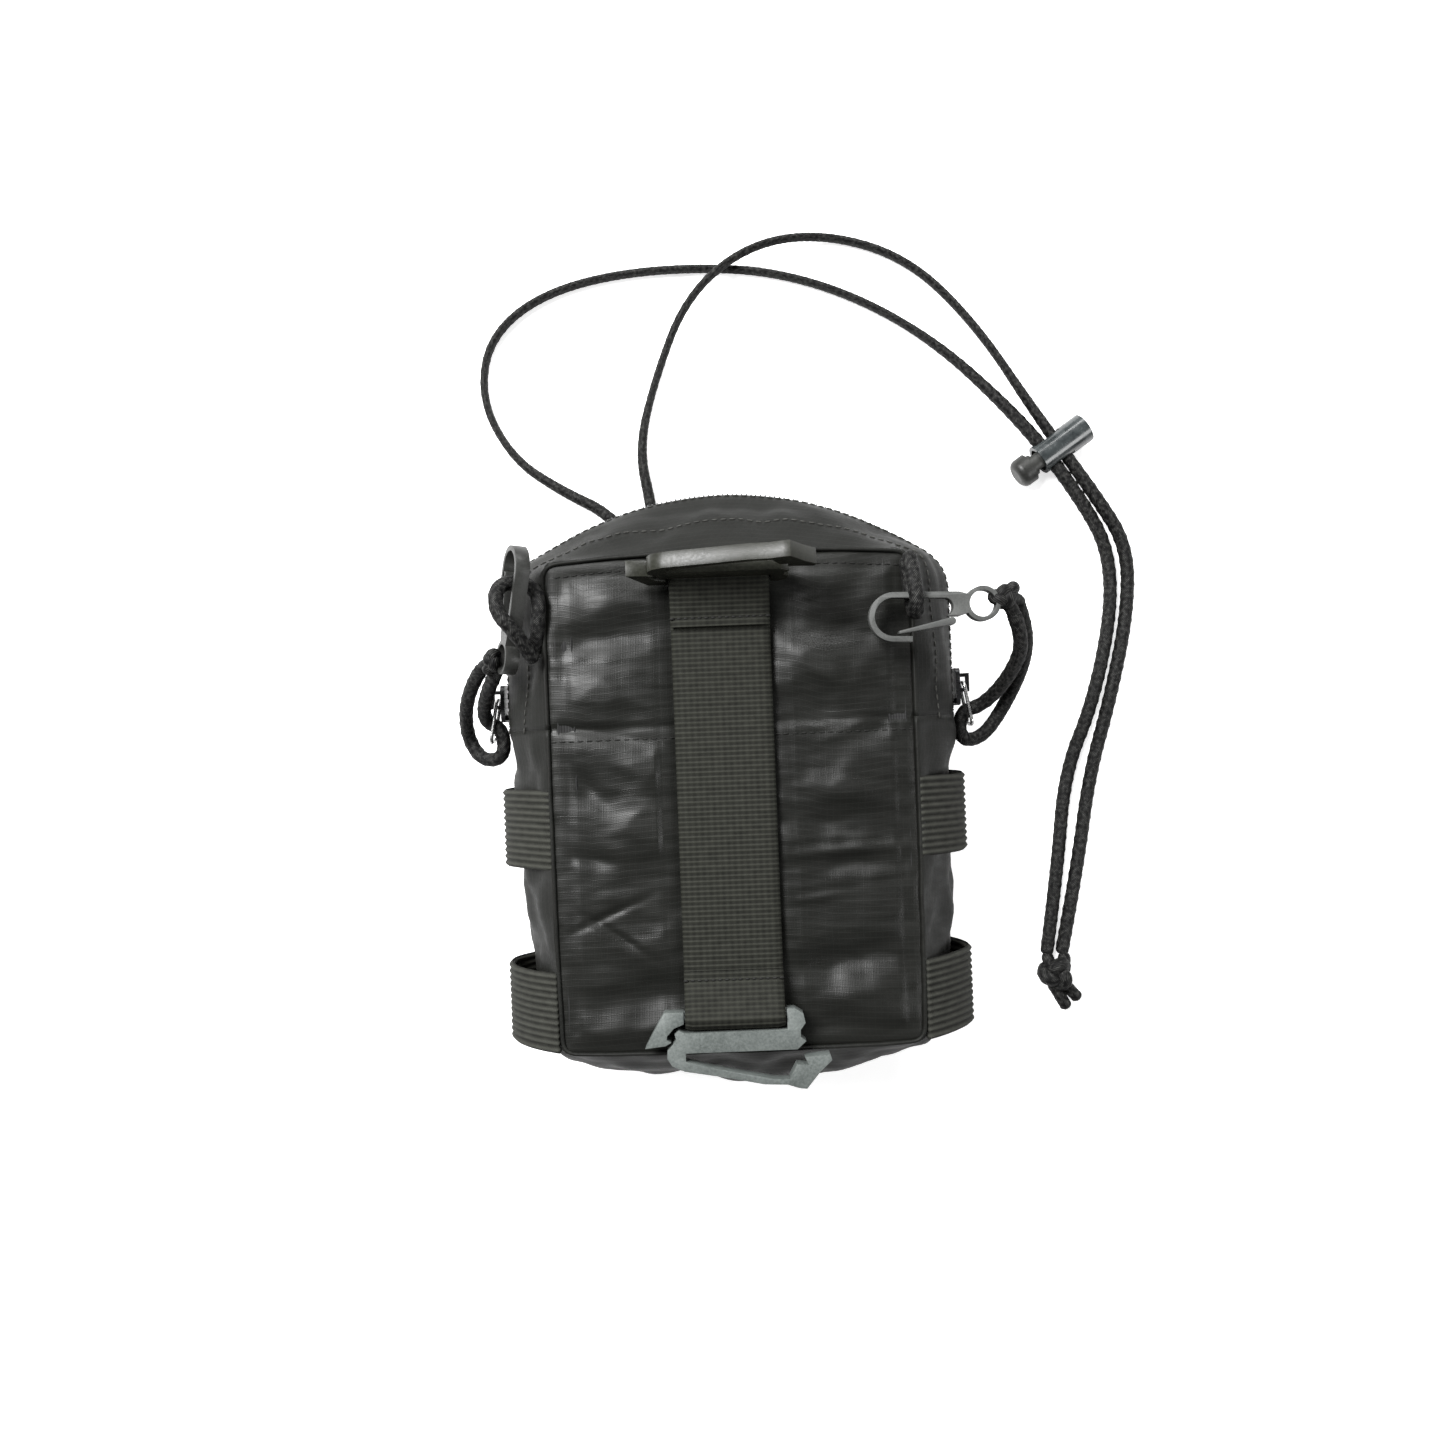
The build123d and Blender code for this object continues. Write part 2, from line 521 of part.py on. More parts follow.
def slider_nodes():
    """Sliders and pulls on both sides."""
    nodes = {}
    for side, word in ((1, "right"), (-1, "left")):
        nodes[f"slider_{word}"] = mirrored(slider(), side)
        nodes[f"slider_pull_{word}"] = mirrored(pull_ring(), side)
    return nodes


def main():
    os.makedirs("parts", exist_ok=True)
    nodes = {}
    for group in (pouch_nodes, strap_nodes, hook_nodes, elastic_nodes, slider_nodes,
                  clip_nodes, leash_nodes, lock_nodes):
        nodes.update(group())
    for name, solid in nodes.items():
        export_step(solid, f"parts/{name}.step")


main()
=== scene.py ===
"""Looks of the zipped utility pouch: cloth, webbing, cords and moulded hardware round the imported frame."""
import math

import bmesh
import bpy
import numpy as np
from mathutils import Matrix, Vector, noise


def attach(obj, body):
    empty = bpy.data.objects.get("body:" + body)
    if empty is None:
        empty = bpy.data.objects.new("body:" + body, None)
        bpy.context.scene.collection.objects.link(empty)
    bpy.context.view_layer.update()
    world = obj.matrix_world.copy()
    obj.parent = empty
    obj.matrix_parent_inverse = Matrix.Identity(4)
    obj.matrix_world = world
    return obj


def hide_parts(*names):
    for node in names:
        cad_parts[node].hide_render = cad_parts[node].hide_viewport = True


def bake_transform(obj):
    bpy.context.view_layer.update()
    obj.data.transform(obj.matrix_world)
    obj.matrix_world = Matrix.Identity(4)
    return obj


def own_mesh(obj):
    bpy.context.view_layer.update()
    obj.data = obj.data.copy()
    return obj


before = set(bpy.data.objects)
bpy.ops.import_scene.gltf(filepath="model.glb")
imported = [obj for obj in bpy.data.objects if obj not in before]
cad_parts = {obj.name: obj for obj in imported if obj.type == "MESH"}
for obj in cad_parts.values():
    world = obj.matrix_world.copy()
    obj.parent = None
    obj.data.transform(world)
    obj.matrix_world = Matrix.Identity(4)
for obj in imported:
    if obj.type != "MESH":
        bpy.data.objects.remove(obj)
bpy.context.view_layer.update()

MM = 0.001

# Sizes of the pouch, in millimetres
HALF_WIDTH = 46.0
HALF_HEIGHT = 62.5
DEPTH = 46.0
SIDE_BULGE = 14.0
TOP_BULGE = 19.5
BOTTOM_BULGE = 13.5
SIDE_TAPER = 8.5
SEAM_Y = 20.0
TAPER_Y = 15.0
CLOTH = 0.9
ZIP_Z = 23.0
CHAIN_GAP = 1.6
CHAIN = 1.4
TAPE = 3.5
STRAP_X = -2.0
STRAP_WIDTH = 25.0
STRAP_THICK = 1.6
STRAP_Z = 46.85
WEB_PITCH = 1.25
BAR_Z = 49.45
BAR_YS = (-53.0, 57.5)
TACK_YS = (-44.5, 47.0)
ELASTIC_WIDTH = 20.5
ELASTIC_YS = (-5.6, -52.0)
CORD = 3.8
REACH = np.array([60.0, 75.0])  # half the filled pouch's width and height, to steer outward directions
HEM_RUN = 5.0  # how far a gusset's dents keep from its seams
DENT_SIZES = ((17, 3.0, 1.0), (7, 9.0, 0.6))  # size, seed and share of each layer of gusset dents
PANEL_LEVEL = 46.08  # level of the stitches on the back panel's highest cloth
SEAM_TUCK = 0.7  # how far the panels reach past the seam line
BEHIND_BACK, BEHIND_FRONT = (0, 0, 0), (0, 0, 100)  # points that each panel's outer face looks away from
MIDDLE = (0, 0, DEPTH / 2)
UP = (0, 0, 1)
LOCK_AT = (95.2, 94.6)
LOCK_Z = 4.4
LOCK_TURN = math.radians(34)


def placed(name, data):
    """A new object in the scene."""
    thing = bpy.data.objects.new(name, data)
    bpy.context.scene.collection.objects.link(thing)
    return thing


# ---------------------------------------------------------------- camera, floor and light
def make_camera():
    """The camera, looking straight down on the pouch's back."""
    data = bpy.data.cameras.new("camera")
    data.lens = 31.2
    data.sensor_width = 36.0
    camera = placed("camera", data)
    camera.location = (-0.0024, 0.0201, 0.363)
    camera.rotation_euler = (0, 0, math.radians(-2.2))
    bpy.context.scene.camera = camera


def make_floor():
    """A pale floor with a glow that only the camera sees, so that the glow lights nothing."""
    mesh = bpy.data.meshes.new("floor")
    reach = 3.0
    corners = [(-reach, -reach, 0), (reach, -reach, 0), (reach, reach, 0), (-reach, reach, 0)]
    mesh.from_pydata(corners, [], [(0, 1, 2, 3)])
    floor = placed("floor", mesh)
    pale = bpy.data.materials.new("pale_floor")
    pale.use_nodes = True
    nodes, links = pale.node_tree.nodes, pale.node_tree.links
    shader = nodes["Principled BSDF"]
    shader.inputs["Base Color"].default_value = (0.86, 0.86, 0.86, 1)
    shader.inputs["Roughness"].default_value = 0.9
    glow = nodes.new("ShaderNodeEmission")
    glow.inputs["Color"].default_value = (0.65, 0.65, 0.65, 1)
    both = nodes.new("ShaderNodeAddShader")
    links.new(shader.outputs[0], both.inputs[0])
    links.new(glow.outputs[0], both.inputs[1])
    path = nodes.new("ShaderNodeLightPath")
    pick = nodes.new("ShaderNodeMixShader")
    links.new(path.outputs["Is Camera Ray"], pick.inputs[0])
    links.new(shader.outputs[0], pick.inputs[1])
    links.new(both.outputs[0], pick.inputs[2])
    links.new(pick.outputs[0], nodes["Material Output"].inputs["Surface"])
    mesh.materials.append(pale)


def area_light(name, at, size, power):
    """A rectangular lamp aimed at the pouch."""
    data = bpy.data.lights.new(name, "AREA")
    data.shape = "RECTANGLE"
    data.size, data.size_y = size
    data.energy = power
    lamp = placed(name, data)
    lamp.location = at
    pouch_middle = Vector((0, 0.01, 0.02))
    aim = pouch_middle - lamp.location
    lamp.rotation_euler = aim.to_track_quat("-Z", "Y").to_euler()


def make_light():
    """A window, two fill lamps and a dim room, with a white backdrop that only the camera sees."""
    area_light("window", (-0.40, 0.40, 0.70), (0.42, 0.42), 19.0)
    area_light("top_strip", (0.22, 0.80, 0.50), (0.5, 0.22), 5.0)
    area_light("fill_right", (0.80, -0.25, 0.60), (0.4, 0.4), 4.0)
    world = bpy.data.worlds.new("studio")
    bpy.context.scene.world = world
    world.use_nodes = True
    nodes, links = world.node_tree.nodes, world.node_tree.links
    room = nodes["Background"]
    room.inputs["Color"].default_value = (1, 1, 1, 1)
    room.inputs["Strength"].default_value = 0.18
    backdrop = nodes.new("ShaderNodeBackground")
    backdrop.inputs["Color"].default_value = (1, 1, 1, 1)
    pick = nodes.new("ShaderNodeMixShader")
    links.new(nodes.new("ShaderNodeLightPath").outputs["Is Camera Ray"], pick.inputs[0])
    links.new(room.outputs[0], pick.inputs[1])
    links.new(backdrop.outputs[0], pick.inputs[2])
    links.new(pick.outputs[0], nodes["World Output"].inputs["Surface"])
    bpy.context.scene.view_settings.view_transform = "Standard"


# ---------------------------------------------------------------- material building
class Finish:
    """A procedural material under construction."""

    def __init__(self, name, base, roughness, **sockets):
        self.material = bpy.data.materials.new(name)
        self.material.use_nodes = True
        self.nodes = self.material.node_tree.nodes
        self.links = self.material.node_tree.links
        self.shader = self.nodes["Principled BSDF"]
        self.shader.inputs["Base Color"].default_value = (*base, 1)
        self.shader.inputs["Roughness"].default_value = roughness
        for socket, value in sockets.items():
            self.shader.inputs[socket.replace("_", " ")].default_value = value

    def place(self, uv=None, scale=(1, 1, 1), turn=0.0):
        """Surface position in metres, from the piece's UV map or from object space."""
        if uv:
            source = self.nodes.new("ShaderNodeUVMap")
            source.uv_map = uv
            out = source.outputs[0]
        else:
            out = self.nodes.new("ShaderNodeTexCoord").outputs["Object"]
        mapping = self.nodes.new("ShaderNodeMapping")
        mapping.inputs["Scale"].default_value = scale
        mapping.inputs["Rotation"].default_value = (0, 0, turn)
        self.links.new(out, mapping.inputs[0])
        return mapping.outputs[0]

    def lines(self, where, axis, pitch):
        """Rounded threads across one axis, one every pitch metres, 0 between them and 1 on top."""
        wave = self.nodes.new("ShaderNodeTexWave")
        wave.bands_direction = axis
        wave.inputs["Scale"].default_value = math.pi / 10 / pitch
        self.links.new(where, wave.inputs[0])
        return wave.outputs["Fac"]

    def mottle(self, where, scale, detail=3.0, roughness=0.55):
        """Cloudy noise between 0 and 1, finer as `scale` grows."""
        cloud = self.nodes.new("ShaderNodeTexNoise")
        cloud.inputs["Scale"].default_value = scale
        cloud.inputs["Detail"].default_value = detail
        cloud.inputs["Roughness"].default_value = roughness
        self.links.new(where, cloud.inputs["Vector"])
        return cloud.outputs["Fac"]

    def math(self, kind, a, b):
        """Arithmetic on two numbers or sockets."""
        node = self.nodes.new("ShaderNodeMath")
        node.operation = kind
        for socket, value in zip(node.inputs, (a, b)):
            if isinstance(value, (int, float)):
                socket.default_value = value
            else:
                self.links.new(value, socket)
        return node.outputs[0]

    def span(self, value, low, high, to_low=0.0, to_high=1.0):
        """Maps the run from low to high onto the run from to_low to to_high."""
        node = self.nodes.new("ShaderNodeMapRange")
        for socket, number in zip(node.inputs[1:5], (low, high, to_low, to_high)):
            socket.default_value = number
        self.links.new(value, node.inputs[0])
        return node.outputs[0]

    def colour(self, share, low, high):
        """Base colour, from `low` where share is 0 to `high` where it is 1."""
        ramp = self.nodes.new("ShaderNodeValToRGB")
        ramp.color_ramp.elements[0].color = (*low, 1)
        ramp.color_ramp.elements[1].color = (*high, 1)
        self.links.new(share, ramp.inputs[0])
        self.links.new(ramp.outputs[0], self.shader.inputs["Base Color"])

    def rough(self, value):
        self.links.new(value, self.shader.inputs["Roughness"])

    def relief(self, height, depth, strength):
        """Fine relief in the shading, of a depth in millimetres."""
        bump = self.nodes.new("ShaderNodeBump")
        bump.inputs["Distance"].default_value = depth * MM
        bump.inputs["Strength"].default_value = strength
        self.links.new(height, bump.inputs["Height"])
        self.links.new(bump.outputs[0], self.shader.inputs["Normal"])


def ripstop(name, shine, smooth, rough):
    """Coated ripstop nylon: a fine plain weave with a heavier thread every few threads both ways."""
    fine_pitch, heavy_pitch, heavy_edge = 0.00042, 0.0016, 0.86
    finish = Finish(name, (0.02, 0.021, 0.019), rough, Specular_IOR_Level=shine)
    where = finish.place(uv="cloth")
    fine = finish.math("MULTIPLY", finish.lines(where, "X", fine_pitch), finish.lines(where, "Y", fine_pitch))
    heavy_x = finish.span(finish.lines(where, "X", heavy_pitch), heavy_edge, 1.0)
    heavy_y = finish.span(finish.lines(where, "Y", heavy_pitch), heavy_edge, 1.0)
    heavy = finish.math("MAXIMUM", finish.math("MULTIPLY", heavy_x, 0.5), heavy_y)
    weave = finish.math("ADD", finish.math("MULTIPLY", fine, 0.5), finish.math("MULTIPLY", heavy, 0.5))
    streak = finish.mottle(finish.place(scale=(0.35, 2.6, 1)), 160.0, 4.0, 0.6)
    worn = finish.mottle(finish.place(), 38.0, 5.0)
    tone = finish.math("ADD", finish.math("MULTIPLY", weave, 0.3), finish.math("MULTIPLY", worn, 0.4))
    tone = finish.math("ADD", tone, finish.math("MULTIPLY", streak, 0.35))
    finish.colour(tone, (0.0015, 0.0016, 0.0013), (0.017, 0.0175, 0.0155))
    finish.rough(finish.span(streak, 0.3, 0.7, smooth, rough))
    finish.relief(finish.math("ADD", weave, finish.math("MULTIPLY", streak, 1.4)), 0.07, 0.4)
    return finish.material


def woven(name, dark, light, pitch_along, pitch_across, depth, across=0.25):
    """Woven tape or webbing on the piece's own UV map, with slubs and faded threads."""
    finish = Finish(name, light, 0.75, Specular_IOR_Level=0.12)
    where = finish.place(uv="cloth")
    rows = finish.lines(where, "Y", pitch_along)
    ends = finish.lines(where, "X", pitch_across)
    weave = finish.math("ADD", finish.math("MULTIPLY", rows, 1 - across),
                        finish.math("MULTIPLY", ends, across))
    slub = finish.mottle(finish.place(), 420.0, 2.0)
    tone = finish.math("ADD", finish.math("MULTIPLY", weave, 0.6), finish.math("MULTIPLY", slub, 0.45))
    finish.colour(tone, dark, light)
    finish.relief(weave, depth, 0.8)
    return finish.material


def braided_cord():
    """Black braided cord with grey flecks where single strands catch the light."""
    finish = Finish("braided_cord", (0.02, 0.02, 0.02), 0.6, Specular_IOR_Level=0.15)
    strand_lean, strand_pitch = 0.8, 0.00038
    where = finish.place(uv="cloth")
    strands = finish.lines(finish.place(uv="cloth", turn=strand_lean), "X", strand_pitch)
    fleck = finish.mottle(where, 900.0, 2.0)
    tone = finish.math("MULTIPLY", finish.span(fleck, 0.42, 0.72), finish.span(strands, 0.2, 1.0))
    finish.colour(tone, (0.001, 0.001, 0.0011), (0.07, 0.07, 0.066))
    finish.relief(strands, 0.06, 0.7)
    return finish.material


def moulded(name, dark, light, grain, roughness, speckle=0.0):
    """Matt moulded plastic with a fine spark-eroded grain and scuffed tone."""
    finish = Finish(name, light, roughness, Specular_IOR_Level=0.3)
    where = finish.place()
    fine = finish.mottle(where, grain, 3.0, 0.7)
    broad = finish.mottle(where, 130.0, 3.0)
    tone = finish.math("ADD", finish.math("MULTIPLY", fine, 0.35 + speckle),
                       finish.math("MULTIPLY", broad, 0.6))
    finish.colour(finish.span(tone, 0.25, 0.8 + speckle / 2), dark, light)
    finish.rough(finish.span(fine, 0.3, 0.7, roughness - 0.08, roughness + 0.08))
    finish.relief(fine, 0.05, 0.5)
    return finish.material


def metal(name, dark, light, roughness, metallic=1.0):
    """Plated or coated metal with a brushed, slightly worn tone."""
    finish = Finish(name, light, roughness, Metallic=metallic)
    worn = finish.mottle(finish.place(), 260.0, 4.0)
    brushed = finish.mottle(finish.place(scale=(1, 8, 8)), 700.0, 2.0)
    finish.colour(finish.span(worn, 0.35, 0.7), dark, light)
    finish.rough(finish.span(brushed, 0.3, 0.7, roughness - 0.06, roughness + 0.1))
    finish.relief(brushed, 0.02, 0.4)
    return finish.material


def polished_plastic():
    """Glossy dark plastic of the cord lock, with light scuffs."""
    finish = Finish("lock_plastic", (0.02, 0.024, 0.024), 0.22, Coat_Weight=0.35, Coat_Roughness=0.12)
    scuff = finish.mottle(finish.place(), 300.0, 5.0, 0.65)
    finish.colour(finish.span(scuff, 0.3, 0.75), (0.012, 0.015, 0.016), (0.05, 0.057, 0.058))
    finish.rough(finish.span(scuff, 0.3, 0.7, 0.16, 0.34))
    finish.relief(scuff, 0.03, 0.35)
    return finish.material


def thread(name, colour):
    """Twisted sewing thread."""
    finish = Finish(name, colour, 0.65, Specular_IOR_Level=0.2)
    twist = finish.mottle(finish.place(), 1500.0, 2.0)
    dark = tuple(0.55 * c for c in colour)
    finish.colour(finish.span(twist, 0.35, 0.65), dark, colour)
    finish.relief(twist, 0.03, 0.5)
    return finish.material


def coil_plastic():
    """The zip's nylon coil, with bright glints on a black ground."""
    finish = Finish("zip_coil", (0.03, 0.03, 0.032), 0.35, Specular_IOR_Level=0.4)
    glint = finish.mottle(finish.place(), 900.0, 2.0)
    finish.colour(finish.span(glint, 0.35, 0.7), (0.008, 0.008, 0.009), (0.10, 0.10, 0.103))
    finish.relief(glint, 0.02, 0.3)
    return finish.material


FINISH = {
    "ripstop": ripstop("ripstop", 0.21, 0.28, 0.50),
    "ripstop_side": ripstop("ripstop_side", 0.13, 0.46, 0.58),
    "binding": woven("binding", (0.004, 0.004, 0.004), (0.03, 0.03, 0.03), 0.0008, 0.0008, 0.08),
    "zip_tape": woven("zip_tape", (0.002, 0.002, 0.0023), (0.012, 0.012, 0.013), 0.0006, 0.0005, 0.07),
    "webbing": woven("webbing", (0.0006, 0.0006, 0.0004), (0.030, 0.031, 0.025), 0.00125, 0.0016, 0.2),
    "elastic": woven("elastic", (0.002, 0.002, 0.0016), (0.045, 0.046, 0.039), 0.0006, 0.0017, 0.10, 0.75),
    "cord": braided_cord(),
    "clip_dark": moulded("clip_dark", (0.006, 0.006, 0.0055), (0.045, 0.046, 0.043), 2600.0, 0.4),
    "clip_plastic": moulded("clip_plastic", (0.03, 0.031, 0.03), (0.105, 0.108, 0.104), 2600.0, 0.5),
    "hook_plastic": moulded("hook_plastic", (0.022, 0.027, 0.025), (0.15, 0.165, 0.158), 1500.0, 0.5, 0.35),
    # the top hook's plastic is the bottom hook's, painted much darker for the shade that falls on its faces
    "top_hook_painted_shade": moulded("top_hook_painted_shade", (0.003, 0.0032, 0.0024), (0.024, 0.025, 0.018), 1500.0, 0.36, 0.2),
    "slider_black": metal("slider_black", (0.012, 0.012, 0.013), (0.05, 0.05, 0.052), 0.3, 0.6),
    "bright_wire": metal("bright_wire", (0.42, 0.42, 0.42), (0.78, 0.78, 0.77), 0.22),
    "lock_plastic": polished_plastic(),
    "spring_steel": metal("spring_steel", (0.4, 0.4, 0.4), (0.6, 0.6, 0.6), 0.3),
    "thread": thread("dark_thread", (0.012, 0.012, 0.011)),
    "light_thread": thread("light_thread", (0.05, 0.05, 0.046)),
    "zip_coil": coil_plastic(),
}


# ---------------------------------------------------------------- mesh helpers
def new_piece(name, points, faces, finish, uvs=None):
    """A mesh object from points in millimetres, smooth shaded, with an optional UV for each point."""
    mesh = bpy.data.meshes.new(name)
    mesh.from_pydata((np.asarray(points, float) * MM).tolist(), [], faces)
    mesh.materials.append(FINISH[finish])
    if uvs is not None:
        layer = mesh.uv_layers.new(name="cloth")
        for loop in mesh.loops:
            layer.data[loop.index].uv = uvs[loop.vertex_index]
    mesh.shade_smooth()
    return placed(name, mesh)


def bake(piece):
    """Replaces the piece's mesh by what its modifiers make of it."""
    graph = bpy.context.evaluated_depsgraph_get()
    made = bpy.data.meshes.new_from_object(piece.evaluated_get(graph))
    piece.modifiers.clear()
    piece.data = made
    return piece


def tidy_normals(piece):
    """Turns all faces outwards."""
    work = bmesh.new()
    work.from_mesh(piece.data)
    bmesh.ops.recalc_face_normals(work, faces=work.faces)
    work.to_mesh(piece.data)
    work.free()


def settle(piece, body, replaced=(), to=None):
    """Puts a finished piece on its body, or bakes its placement into its mesh when `to` names a second body,
    and hides the CAD parts that it replaces."""
    if to:
        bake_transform(piece)
    else:
        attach(piece, body)
    if replaced:
        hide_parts(*replaced)
    return piece


def distances(points):
    """How far along a run of points each one lies."""
    return np.concatenate([[0], np.cumsum(np.linalg.norm(np.diff(points, axis=0), axis=1))])


def headings(points):
    """The direction of a run of points at each one."""
    heading = np.gradient(points, axis=0)
    return heading / np.linalg.norm(heading, axis=1)[:, None]


def resampled(points, count, cut_start=0.0, cut_end=0.0):
    """Evenly spaced points along a run of points, leaving a length off at each end."""
    points = np.asarray(points, float)
    far = distances(points)
    wanted = np.linspace(cut_start, far[-1] - cut_end, count)
    return np.stack([np.interp(wanted, far, points[:, k]) for k in range(points.shape[1])], axis=1)


def bowed(start, middle, end, count=40):
    """A gentle bow through three points."""
    t = np.linspace(0, 1, count)[:, None]
    start, middle, end = (np.asarray(p, float) for p in (start, middle, end))
    return start * (1 - t) * (1 - 2 * t) + middle * 4 * t * (1 - t) + end * t * (2 * t - 1)


def rounded(before, corner, after, count):
    """The rounded corner between two runs, given where they leave off."""
    t = np.linspace(0, 1, count + 2)[1:-1, None]
    before, corner, after = (np.asarray(p, float) for p in (before, corner, after))
    return before * (1 - t) ** 2 + 2 * corner * t * (1 - t) + after * t ** 2


def ring_faces(rings, size):
    """The side faces of a run of rings of points."""
    faces = []
    for k in range(rings - 1):
        for j in range(size):
            a, b = k * size + j, k * size + (j + 1) % size
            faces.append((a, b, b + size, a + size))
    return faces


def sheet_piece(name, rows, thick, finish, away):
    """Cloth over a grid of points, given a thickness on the side that faces away from `away`."""
    rows = np.asarray(rows, float)
    high, wide = rows.shape[:2]
    across = np.linalg.norm(np.diff(rows, axis=1), axis=2)
    along = np.linalg.norm(np.diff(rows, axis=0), axis=2)
    u = np.concatenate([np.zeros((high, 1)), np.cumsum(across, axis=1)], axis=1)
    v = np.concatenate([np.zeros((1, wide)), np.cumsum(along, axis=0)], axis=0)
    uvs = np.stack([u, v], axis=2).reshape(-1, 2) * MM
    index = np.arange(high * wide).reshape(high, wide)
    quads = np.stack([index[:-1, :-1], index[:-1, 1:], index[1:, 1:], index[1:, :-1]], axis=2)
    quads = quads.reshape(-1, 4)
    points = rows.reshape(-1, 3)
    corner = points[quads]
    normal = np.cross(corner[:, 1] - corner[:, 0], corner[:, 3] - corner[:, 0])
    middle = corner.mean(axis=1)
    if (normal * (middle - np.asarray(away))).sum() < 0:
        quads = quads[:, ::-1]
    piece = new_piece(name, points, quads.tolist(), finish, uvs)
    wall = piece.modifiers.new("wall", "SOLIDIFY")
    wall.thickness = thick * MM
    wall.offset = -1
    wall.use_even_offset = True
    return bake(piece)


# ---------------------------------------------------------------- the pouch's filled shape
def bulge_at(z):
    """How full the pouch is at a level, from 0 at its panels to 1 midway."""
    return 1 - ((z - DEPTH / 2) / (DEPTH / 2)) ** 2


def half_outline(bulge, side):
    """Lower and upper halves of one side's edge: the boot below the cross seam, the mouth above it."""
    half = HALF_WIDTH + SIDE_BULGE * bulge
    top = HALF_HEIGHT - 2.5 * bulge
    bottom_y = HALF_HEIGHT + 0.4 * BOTTOM_BULGE * bulge
    foot = half - SIDE_TAPER * bulge
    sag = 0.25 * SIDE_TAPER * bulge
    arch = bowed((half, top), (0, HALF_HEIGHT + TOP_BULGE * bulge), (-half, top), 81)[:41]
    side_top = np.array([(half, SEAM_Y), (half, top)])
    low_side = bowed((half, TAPER_Y), (half - sag, (TAPER_Y - bottom_y) / 2), (foot, -bottom_y), 40)
    low_side = np.concatenate([[(half, SEAM_Y)], low_side])
    base = bowed((foot, -bottom_y), (0, -HALF_HEIGHT - BOTTOM_BULGE * bulge), (-foot, -bottom_y), 81)[:41]
    top_round, foot_round = 4 + 12 * bulge, 4 + 3 * bulge
    trim_top = top_round * math.tan(math.radians(45 - 20 * bulge))
    trim_foot = foot_round * math.tan(math.radians(45 - 12 * bulge))
    up = resampled(side_top, 26, 0, trim_top)
    over = resampled(arch, 34, trim_top, 0)
    mouth = np.concatenate([up, rounded(up[-1], (half, top), over[0], 8), over])
    down = resampled(low_side, 44, 0, trim_foot)
    under = resampled(base, 30, trim_foot, 0)
    boot = np.concatenate([down, rounded(down[-1], (foot, -bottom_y), under[0], 6), under])
    flip = np.array([side, 1])
    return boot * flip, mouth * flip


def whole_line(bulge, part):
    """One run from the right cross seam to the left one, by the boot (0) or over the mouth (1)."""
    right = half_outline(bulge, 1)[part]
    left = half_outline(bulge, -1)[part]
    return np.concatenate([right, left[-2::-1]])


def lifted(line, z):
    """A flat line set at one level."""
    return np.column_stack([line, np.full(len(line), z)])


def crumple(x, y, z, size, seed):
    """Soft dents of about the given size, between -1 and 1."""
    return noise.noise(Vector((x / size + seed, y / size, z / size)))


def gusset_line(part, z, z_low, z_high, dent):
    """One level of the filled gusset, dented like cloth that is loosely filled."""
    seam_width = 2.5
    points = lifted(whole_line(bulge_at(z), part), z)
    held = min(1.0, max(0.0, min(z - z_low, z_high - z) / HEM_RUN))
    for k, (x, y, level) in enumerate(points):
        outward = Vector((x / REACH[0], y / REACH[1], 0)).normalized()
        dents = sum(share * crumple(x, y, level, size, seed) for size, seed, share in DENT_SIZES)
        amount = dent * held * (dents - 0.4)
        amount *= 1 - math.exp(-((y - SEAM_Y) / seam_width) ** 2)
        points[k][0] += outward.x * amount
        points[k][1] += outward.y * amount
    return points


def gusset_rows(part, z_low, z_high, dent):
    """The levels of one gusset, from its lowest to its highest."""
    step = 0.65
    levels = np.linspace(z_low, z_high, int((z_high - z_low) / step))
    return [gusset_line(part, z, z_low, z_high, dent) for z in levels]


FRONT_GUSSET = (0.6, 17.6, 0.9)  # lowest and highest level of the cloth, and how deep its dents are
BACK_GUSSET = (28.4, 45.3, 1.5)
BOOT_GUSSET = (0.6, 45.3, 2.2)
# Soft folds in the back panel: x, y, half length, half width, turn, and depth, below 0 for a ridge
FOLDS = [
    (-26, 58, 16, 3.5, 0.05, 1.2),
    (-31, 51, 10, 5.0, 0.20, -1.0),
    (-30, 43, 14, 4.0, 0.10, 1.4),
    (-33, 28, 14, 5.0, 0.00, -1.0),
    (-36, 19, 12, 2.0, -0.15, 1.1),
    (-26, 10, 12, 5.0, -0.30, -1.0),
    (-38, 5, 8, 3.0, -0.80, 1.1),
    (-24, -6, 10, 6.0, 0.10, -0.9),
    (-38, -13, 8, 1.8, -0.20, 0.9),
    (-34, -28, 9, 0.9, 0.40, 0.9),
    (-31, -33, 9, 1.0, -0.60, 0.9),
    (-22, -36, 8, 4.0, 0.30, -0.9),
    (-24, -49, 14, 4.5, 0.10, 2.0),
    (-30, -58, 12, 2.5, 0.05, -0.8),
    (25, 56, 10, 4.0, -0.50, -1.0),
    (16, 49, 4, 8.0, 0.00, 1.2),
    (27, 43, 12, 3.5, -0.20, 1.4),
    (24, 33, 9, 3.2, -0.60, -1.4),
    (20, 23, 10, 4.0, -0.30, 1.3),
    (37, 18, 9, 2.6, 0.50, 1.0),
    (30, 2, 10, 3.5, -0.20, -1.2),
    (22, -6, 11, 3.0, -0.10, 1.2),
    (30, -13, 15, 1.4, 0.05, -0.9),
    (30, -17, 13, 2.2, 0.03, 0.9),
    (20, -25, 7, 0.7, 0.10, -0.5),
    (27, -41, 13, 4.0, 0.15, 2.1),
    (32, -52, 9, 4.0, -0.10, -1.3),
    (22, -57, 8, 3.0, 0.00, 1.2),
]


